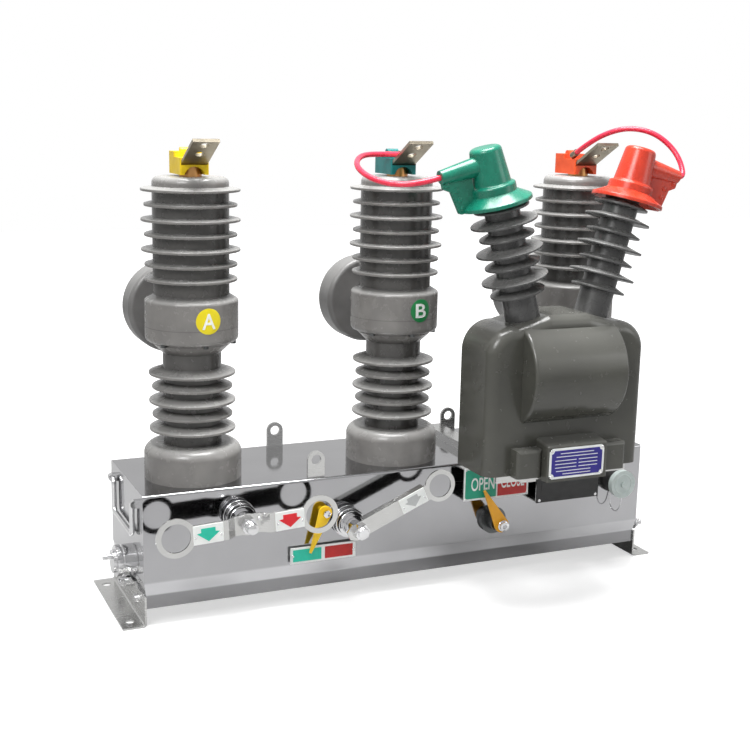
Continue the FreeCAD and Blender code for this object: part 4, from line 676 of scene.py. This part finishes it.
def add_mark(letter, phase, azimuth, z, radius, finish):
    """Disc and letter: rings of growing radius with a rounded rim, bent on the housing."""
    place = bent(phase, azimuth, z)
    rings = np.array([0.02, 0.35, 0.7, 0.93, 1.0, 1.0, 0.7, 0.02]) * radius
    level = np.array([0.6, 0.6, 0.6, 0.6, 0.35, 0.05, 0.05, 0.05])
    around = np.linspace(0, 2 * np.pi, 64, endpoint=False)
    u, v = rings[:, None] * np.cos(around), rings[:, None] * np.sin(around)
    skin(f"phase_mark_{phase}", [place(u, v, level[:, None] + 0 * u)], finish)
    lettering(f"phase_letter_{phase}", letter, radius * 1.05, radius * 1.2, place, "sign white",
              low=0.4, thick=0.8)


add_mark("A", "a", 5, 459, 19.5, "mark yellow")
add_mark("B", "b", 12, 459.5, 18.5, "mark green")
print("phase marks", ["A", "B"])

# %% [markdown]
# Under each housing hang the heads of the bolts that clamp the two halves of the pole. They
# stand on one circle, sixty degrees apart, so one nut shape is placed six times.

# %% Clamp bolts of the poles
def clamp_bolts(phase):
    """Six heads on a circle under the housing, each a chamfered hexagon facing down."""
    angles = np.radians(np.arange(6) * 60 - 57.0)
    x, y = PHASES[phase] + CLAMP_R * np.sin(angles), POLE_Y - CLAMP_R * np.cos(angles)
    return [nut(8, 5, 0.4, (px, py, 421.5), (0, 0, -1)) for px, py in zip(x, y)]


for phase in PHASES:
    skin(f"clamp_bolts_{phase}", clamp_bolts(phase), "dull steel")
print("clamp bolts", 6 * len(PHASES))

# %% [markdown]
# The manual lever carries a white plate on each arm with a coloured arrow, and two rivets hold
# each plate. The charging lever has one plate with a grey arrow. Both ride their own lever, so
# they turn with it, and both are drawn in the lever's own frame before it is tilted.

# %% Lever plates
ARROW = [(11, 8.5), (11, 2.2), (17.5, 1.2), (0, -12.2), (-17.5, 1.2), (-11, 2.2), (-11, 8.5)]


def lever_plate(name, pivot, tilt, middle, size, colour, body):
    """Plate, arrow and rivets: each grid is shifted to its middle along the lever, then tilted."""
    place = at_place(pivot, tilt)
    u, v, w = sheet(*size, 1.2, 1.0, middle)
    skin(f"{name}_plate", [place(u, v, w)], "sign white", body)
    share = size[1] / 29.0
    outline = [(middle[0] + x * share, middle[1] + y * share + 1) for x, y in ARROW]
    panel(f"{name}_arrow", outline, 0.25, place, colour, body, low=1.0)
    ends = [place(*rivet_at(middle[0] + side * (size[0] / 2 - 3.6), middle[1] - 3.5, 1.0))
            for side in (-1, 1)]
    skin(f"{name}_rivets", ends, "bright steel", body)


def rivet_at(u0, v0, low, radius=1.7, height=1.1):
    """Grid of a domed rivet in a local frame."""
    r, h = (column[:, None] for column in np.array(dome(radius, height)).T)
    around = np.linspace(0, 2 * np.pi, 20, endpoint=False)
    return u0 + r * np.cos(around), v0 + r * np.sin(around), low + h + 0 * around


lever_plate("manual_left", MANUAL, MANUAL_TILT, (-63.5, -0.5), (46, 29), "arrow teal",
            "manual_handle")
lever_plate("manual_right", MANUAL, MANUAL_TILT, (63.5, -0.5), (46, 29), "arrow red",
            "manual_handle")
lever_plate("charging", CHARGE, CHARGE_TILT, (98, 0), (46, 25), "arrow grey", "charging_handle")
hub = at_place((MANUAL[0], -157, MANUAL[2]), MANUAL_TILT)
studs = [hub(*rivet_at(u0, v0, 0.0, 3.0, 2.4)) for u0, v0 in ((-25.5, 3.7), (18.5, 6.7))]
skin("manual_studs", studs, "bright steel", "manual_handle")
print("lever plates", 3)

# %% [markdown]
# Each lever spindle ends in a thread with a slim lock nut, and stacks of washers sit on the
# bosses behind. The thread is one surface whose radius waves along a helix, and every washer
# is a turned ring with broken edges.

# %% Spindle ends and washers
def washer(outer, bore, thick, centre, facing=(0, -1, 0), low=0.0):
    """A flat ring with small chamfers, as a loop of rings."""
    c = min(0.5, thick / 3)
    low_edge = [(bore, low), (outer - c, low), (outer, low + c)]
    high_edge = [(outer, low + thick - c), (outer - c, low + thick), (bore, low + thick)]
    return turned(low_edge + high_edge, centre, facing)


def spindle_end(name, pivot, nut_face, body):
    """Thread from the nut to the tip, and a slim nut on it."""
    tip, centre = -184.0, (pivot[0], nut_face, pivot[2])
    skin(f"{name}_thread", [thread(8.7, 1.75, nut_face - tip, centre)], "bright steel",
         body, angle=60)
    skin(f"{name}_lock_nut", [nut(21, 4.5, 8.0, centre, turn=12)], "bright steel", body,
         loop=True)


spindle_end("manual", MANUAL, -166, "manual_handle")
spindle_end("charging", CHARGE, -175, "charging_handle")
STACK = [(25, 3.2, -112), (20.5, 4.5, -117), (24, 2.4, -125), (21, 3.0, -131)]
rings = [washer(outer, 16.2, thick, (x, y, z)) for x, _, z in (MANUAL, CHARGE)
         for outer, thick, y in STACK]
skin("boss_rings", rings, "bright steel", loop=True)
skin("dial_nut", [nut(15, 6, 4.0, (148, -147, 104), turn=8)], "bright steel",
     "position_indicator", loop=True)
skin("dial_washer", [washer(9.5, 4.2, 1.2, (148, -147, 104))], "bright steel",
     "position_indicator", loop=True)
skin("flag_nut", [nut(11, 5, 0.4, (-157, -124, 153), turn=20)], "bright steel",
     "charge_indicator")
print("spindle ends", 2, "rings", len(rings))

# %% [markdown]
# Two signs stand behind the pointers, with a green and a red field each and plain words on the
# larger one. A black plate is left plain and a blue one is ruled. Fields and words are thin
# sheets that stand a little proud, so their edges catch light as printed enamel does.

# %% Signs and plates
def field(name, width, height, middle, place, finish, low, thick=0.3, corner=0.8,
          notched=False):
    """One flat field on a plate, with round or notched corners."""
    u, v, w = sheet(width, height, corner, thick, middle, 0.08, notched, low)
    skin(name, [place(u, v, w)], finish)


def screws(name, spots, place, low, radius=2.4, height=1.4):
    """Domed screw heads in the local frame of a plate."""
    skin(name, [place(*rivet_at(u, v, low, radius, height)) for u, v in spots], "bright steel")


def corner_spots(across, up):
    """The corners of a rectangle about the middle of a plate."""
    return [(-across, -up), (across, -up), (-across, up), (across, up)]


sign = at_place((140.5, -133, 176.5))
field("sign_green", 57.5, 49, (-29.6, 0), sign, "sign green", 0)
field("sign_red", 55.0, 49, (29.2, 0), sign, "sign red", 0)
lettering("word_open", "OPEN", 43, 22, at_place((114.5, -133, 176.0)), "sign white",
          low=0.3)
lettering("word_close", "CLOSE", 44, 22, at_place((170.5, -133, 176.0)), "sign white",
          low=0.3)
screws("sign_screws", corner_spots(57.3, 24.5), sign, 0.0, 1.7, 1.0)

plate = at_place((-157, -114, 85.5))
field("charge_green", 47.5, 19.5, (-27.2, 0), plate, "arrow teal", 0)
field("charge_red", 47.5, 19.5, (26.2, 0), plate, "sign red", 0)
screws("charge_screws", [(-51.5, 0), (51.5, 0)], plate, 0.25, 2.4, 1.6)

black = at_place((279, -133, 162))
screws("nameplate_screws", corner_spots(55.5, 27), black, 0.0, 2.8, 1.6)
field("nameplate_field", 104, 46, (0, 0), black, "black plate", 0.0, 0.4, 2.0)

blue = at_place((189.6, -289, 247.9))
field("blue_border", 98, 48, (0, 0), blue, "sign white", 0.0, 1.0, 4.5, True)
field("blue_field", 91, 41, (0, 0), blue, "plate blue", 1.0, 0.2, 5.0, True)
rows = [(0, 15.5, 60), (0, 10.5, 74), (-20, 4.5, 38), (20, 4.5, 34), (-20, -1.0, 38),
        (20, -1.0, 34), (-20, -6.5, 38), (20, -6.5, 34), (-6, -12, 62), (0, -16.8, 50)]
lines = [blue(*sheet(w, 1.1, 0.3, 0.15, (u, v), 0.05, low=1.2)) for u, v, w in rows]
skin("blue_rules", lines, "sign white")
screws("blue_screws", corner_spots(45.5, 20.5), blue, 0.9, 2.5, 1.5)
print("plates", 4, "ruled lines", len(rows))

# %% [markdown]
# The hoods snap shut along their flaps. Each flap has a row of round snaps on both faces, and
# a hood stands tilted on its bushing, so the snaps are laid out along the bushing and turned
# with it. A raised bead runs round the dust cap of the socket.

# %% Hood snaps and cap ring
SEAT = {"left": (-1, 130.0, "hood_green"), "right": (1, 254.0, "hood_red")}
SNAPS = [(83.0, 231.0), (69.0, 219.5), (66.8, 205.5), (64.5, 191.5)]


def snap(side, seat_x, along, height, front):
    """A snap's cap and rim on a flap face: its place leans with the bushing, then is shifted."""
    t = np.radians(BUSH_TILT)
    x = side * (along * np.cos(t) + height * np.sin(t))
    z = height * np.cos(t) - along * np.sin(t)
    face = -4.0 if front else 4.0
    profile = [(4.1, 0), (4.1, 0.7), (3.4, 1.2), (2.6, 1.3), (2.4, 0.9), (1.2, 1.1), (0.05, 1.2)]
    return turned(profile, (seat_x + x, BUSH_Y + face, BUSH_FOOT_Z + z),
                  (0, -1 if front else 1, 0), 28)


for key, (side, seat_x, slot) in SEAT.items():
    caps = [snap(side, seat_x, a, h, front) for a, h in SNAPS for front in (True, False)]
    skin(f"hood_snaps_{key}", caps, slot.replace("hood_", "") + " rubber")
cap = (381, -148, 151)
bead = [(15.2, -0.5), (15.6, 0.7), (16.6, 0.9), (17.6, 0.7), (18, -0.5)]
skin("cap_rings", [turned(bead, cap, sides=72)], "cap plastic", loop=True)
print("snaps", 2 * len(SNAPS) * len(SEAT))

# %% [markdown]
# Bolts close the part: a hexagon nut with a washer on the threaded ground stud at each end, and
# a longer earth bolt with two nuts at the right. Nuts and washers are loops of rings with a
# real bore, so the thread shows inside them.

# %% End fasteners
STUD_FACE = 441.5
ground, tips = [], []
for side in (-1, 1):
    out, stud = (side, 0, 0), (side * STUD_FACE, 0, GROUND_Z)
    ground += [washer(11.5, 5.2, 1.8, stud, out, 6.2), nut(14, 5.5, 5.0, stud, out, 10, 8.2)]
    tips.append(thread(5.3, 1.25, 12.5, stud, out, 0.4))
skin("ground_nuts", ground[1::2], "bright steel", loop=True)
skin("ground_washers", ground[::2], "bright steel", loop=True)
skin("ground_threads", tips, "bright steel", angle=60)
stand, right = (438.5, -78, 52), (1, 0, 0)
skin("earth_bolt", [thread(5.6, 1.5, 34, stand, right, 0.45)], "bright steel", angle=60)
stack = [washer(13, 5.2, 2.2, stand, right, 9), nut(15, 6.5, 5.0, stand, right, 14, 11.4),
         washer(11, 5.2, 1.6, stand, right, 18.2), nut(14, 6, 5.0, stand, right, 40, 20)]
skin("earth_stack", stack, "bright steel", loop=True)
print("ground nuts", 2, "earth bolt", 1)

# %% [markdown]
# The studio has a pale floor that runs into a white distance, one big soft light above and two
# smaller ones in front. Steel this bright shows mostly what stands around it, so the world is
# part of the finish: near white in reflections, and dim as a light, so shadows stay deep.

# %% Floor, light and world
def add_floor():
    """A wide pale sheet under the feet: near the part it keeps shadow, far out it glows white."""
    data = bpy.data.meshes.new("floor")
    data.from_pydata([(*corner, 0) for corner in ((-6, -6), (6, -6), (6, 6), (-6, 6))], [],
                     [(0, 1, 2, 3)])
    floor = bpy.data.objects.new("floor", data)
    bpy.context.scene.collection.objects.link(floor)
    shader = Shader("floor")
    seen = shader.add("ShaderNodeLightPath").outputs["Is Camera Ray"]
    place = shader.add("ShaderNodeTexCoord").outputs["Object"]
    reach = shader.add("ShaderNodeVectorMath", "LENGTH", **{"0": place}).outputs["Value"]
    glow = spread(shader.tree, reach, 0.7, 2.2, 0.6, 1.0)
    shader.finish(Base_Color=tint(186, 186, 186), Roughness=0.3, Specular_IOR_Level=0.4)
    shader.finish(Emission_Color=(1, 1, 1, 1),
                  Emission_Strength=two_in(shader.tree, "MULTIPLY", seen, glow))
    data.materials.append(shader.material)


def add_area(name, place, target, size, power):
    """A square soft light that faces a point."""
    data = bpy.data.lights.new(name, "AREA")
    data.size = size
    data.energy = power
    lamp = bpy.data.objects.new(name, data)
    lamp.location = place
    direction = Vector(target) - Vector(place)
    lamp.rotation_euler = direction.to_track_quat("-Z", "Y").to_euler()
    bpy.context.scene.collection.objects.link(lamp)


def add_world():
    """A sky that is white to the camera, pale in reflections and dim as a light: the strength is
    a base, plus a share for glossy rays, plus a share for camera rays."""
    world = bpy.data.worlds.new("studio")
    world.use_nodes = True
    tree = world.node_tree
    background = tree.nodes["Background"]
    path = tree.nodes.new("ShaderNodeLightPath").outputs
    glossy, seen = (two_in(tree, "MULTIPLY", path[key], share)
                    for key, share in (("Is Glossy Ray", 0.66), ("Is Camera Ray", 0.88)))
    total = two_in(tree, "ADD", two_in(tree, "ADD", glossy, seen), 0.12)
    tree.links.new(total, background.inputs["Strength"])
    background.inputs["Color"].default_value = (1, 1, 1, 1)
    bpy.context.scene.world = world


add_floor()
add_area("key", (-1.9, -1.7, 2.2), (0, 0, 0.35), 1.2, 52)
add_area("fill", (2.2, -1.9, 1.2), (0, 0, 0.35), 1.2, 10)
add_area("top", (0.0, -0.1, 2.6), (0, 0, 0.3), 1.4, 130)
add_world()
bpy.context.scene.view_settings.view_transform = "Standard"
print("lights", [lamp.name for lamp in bpy.data.lights])
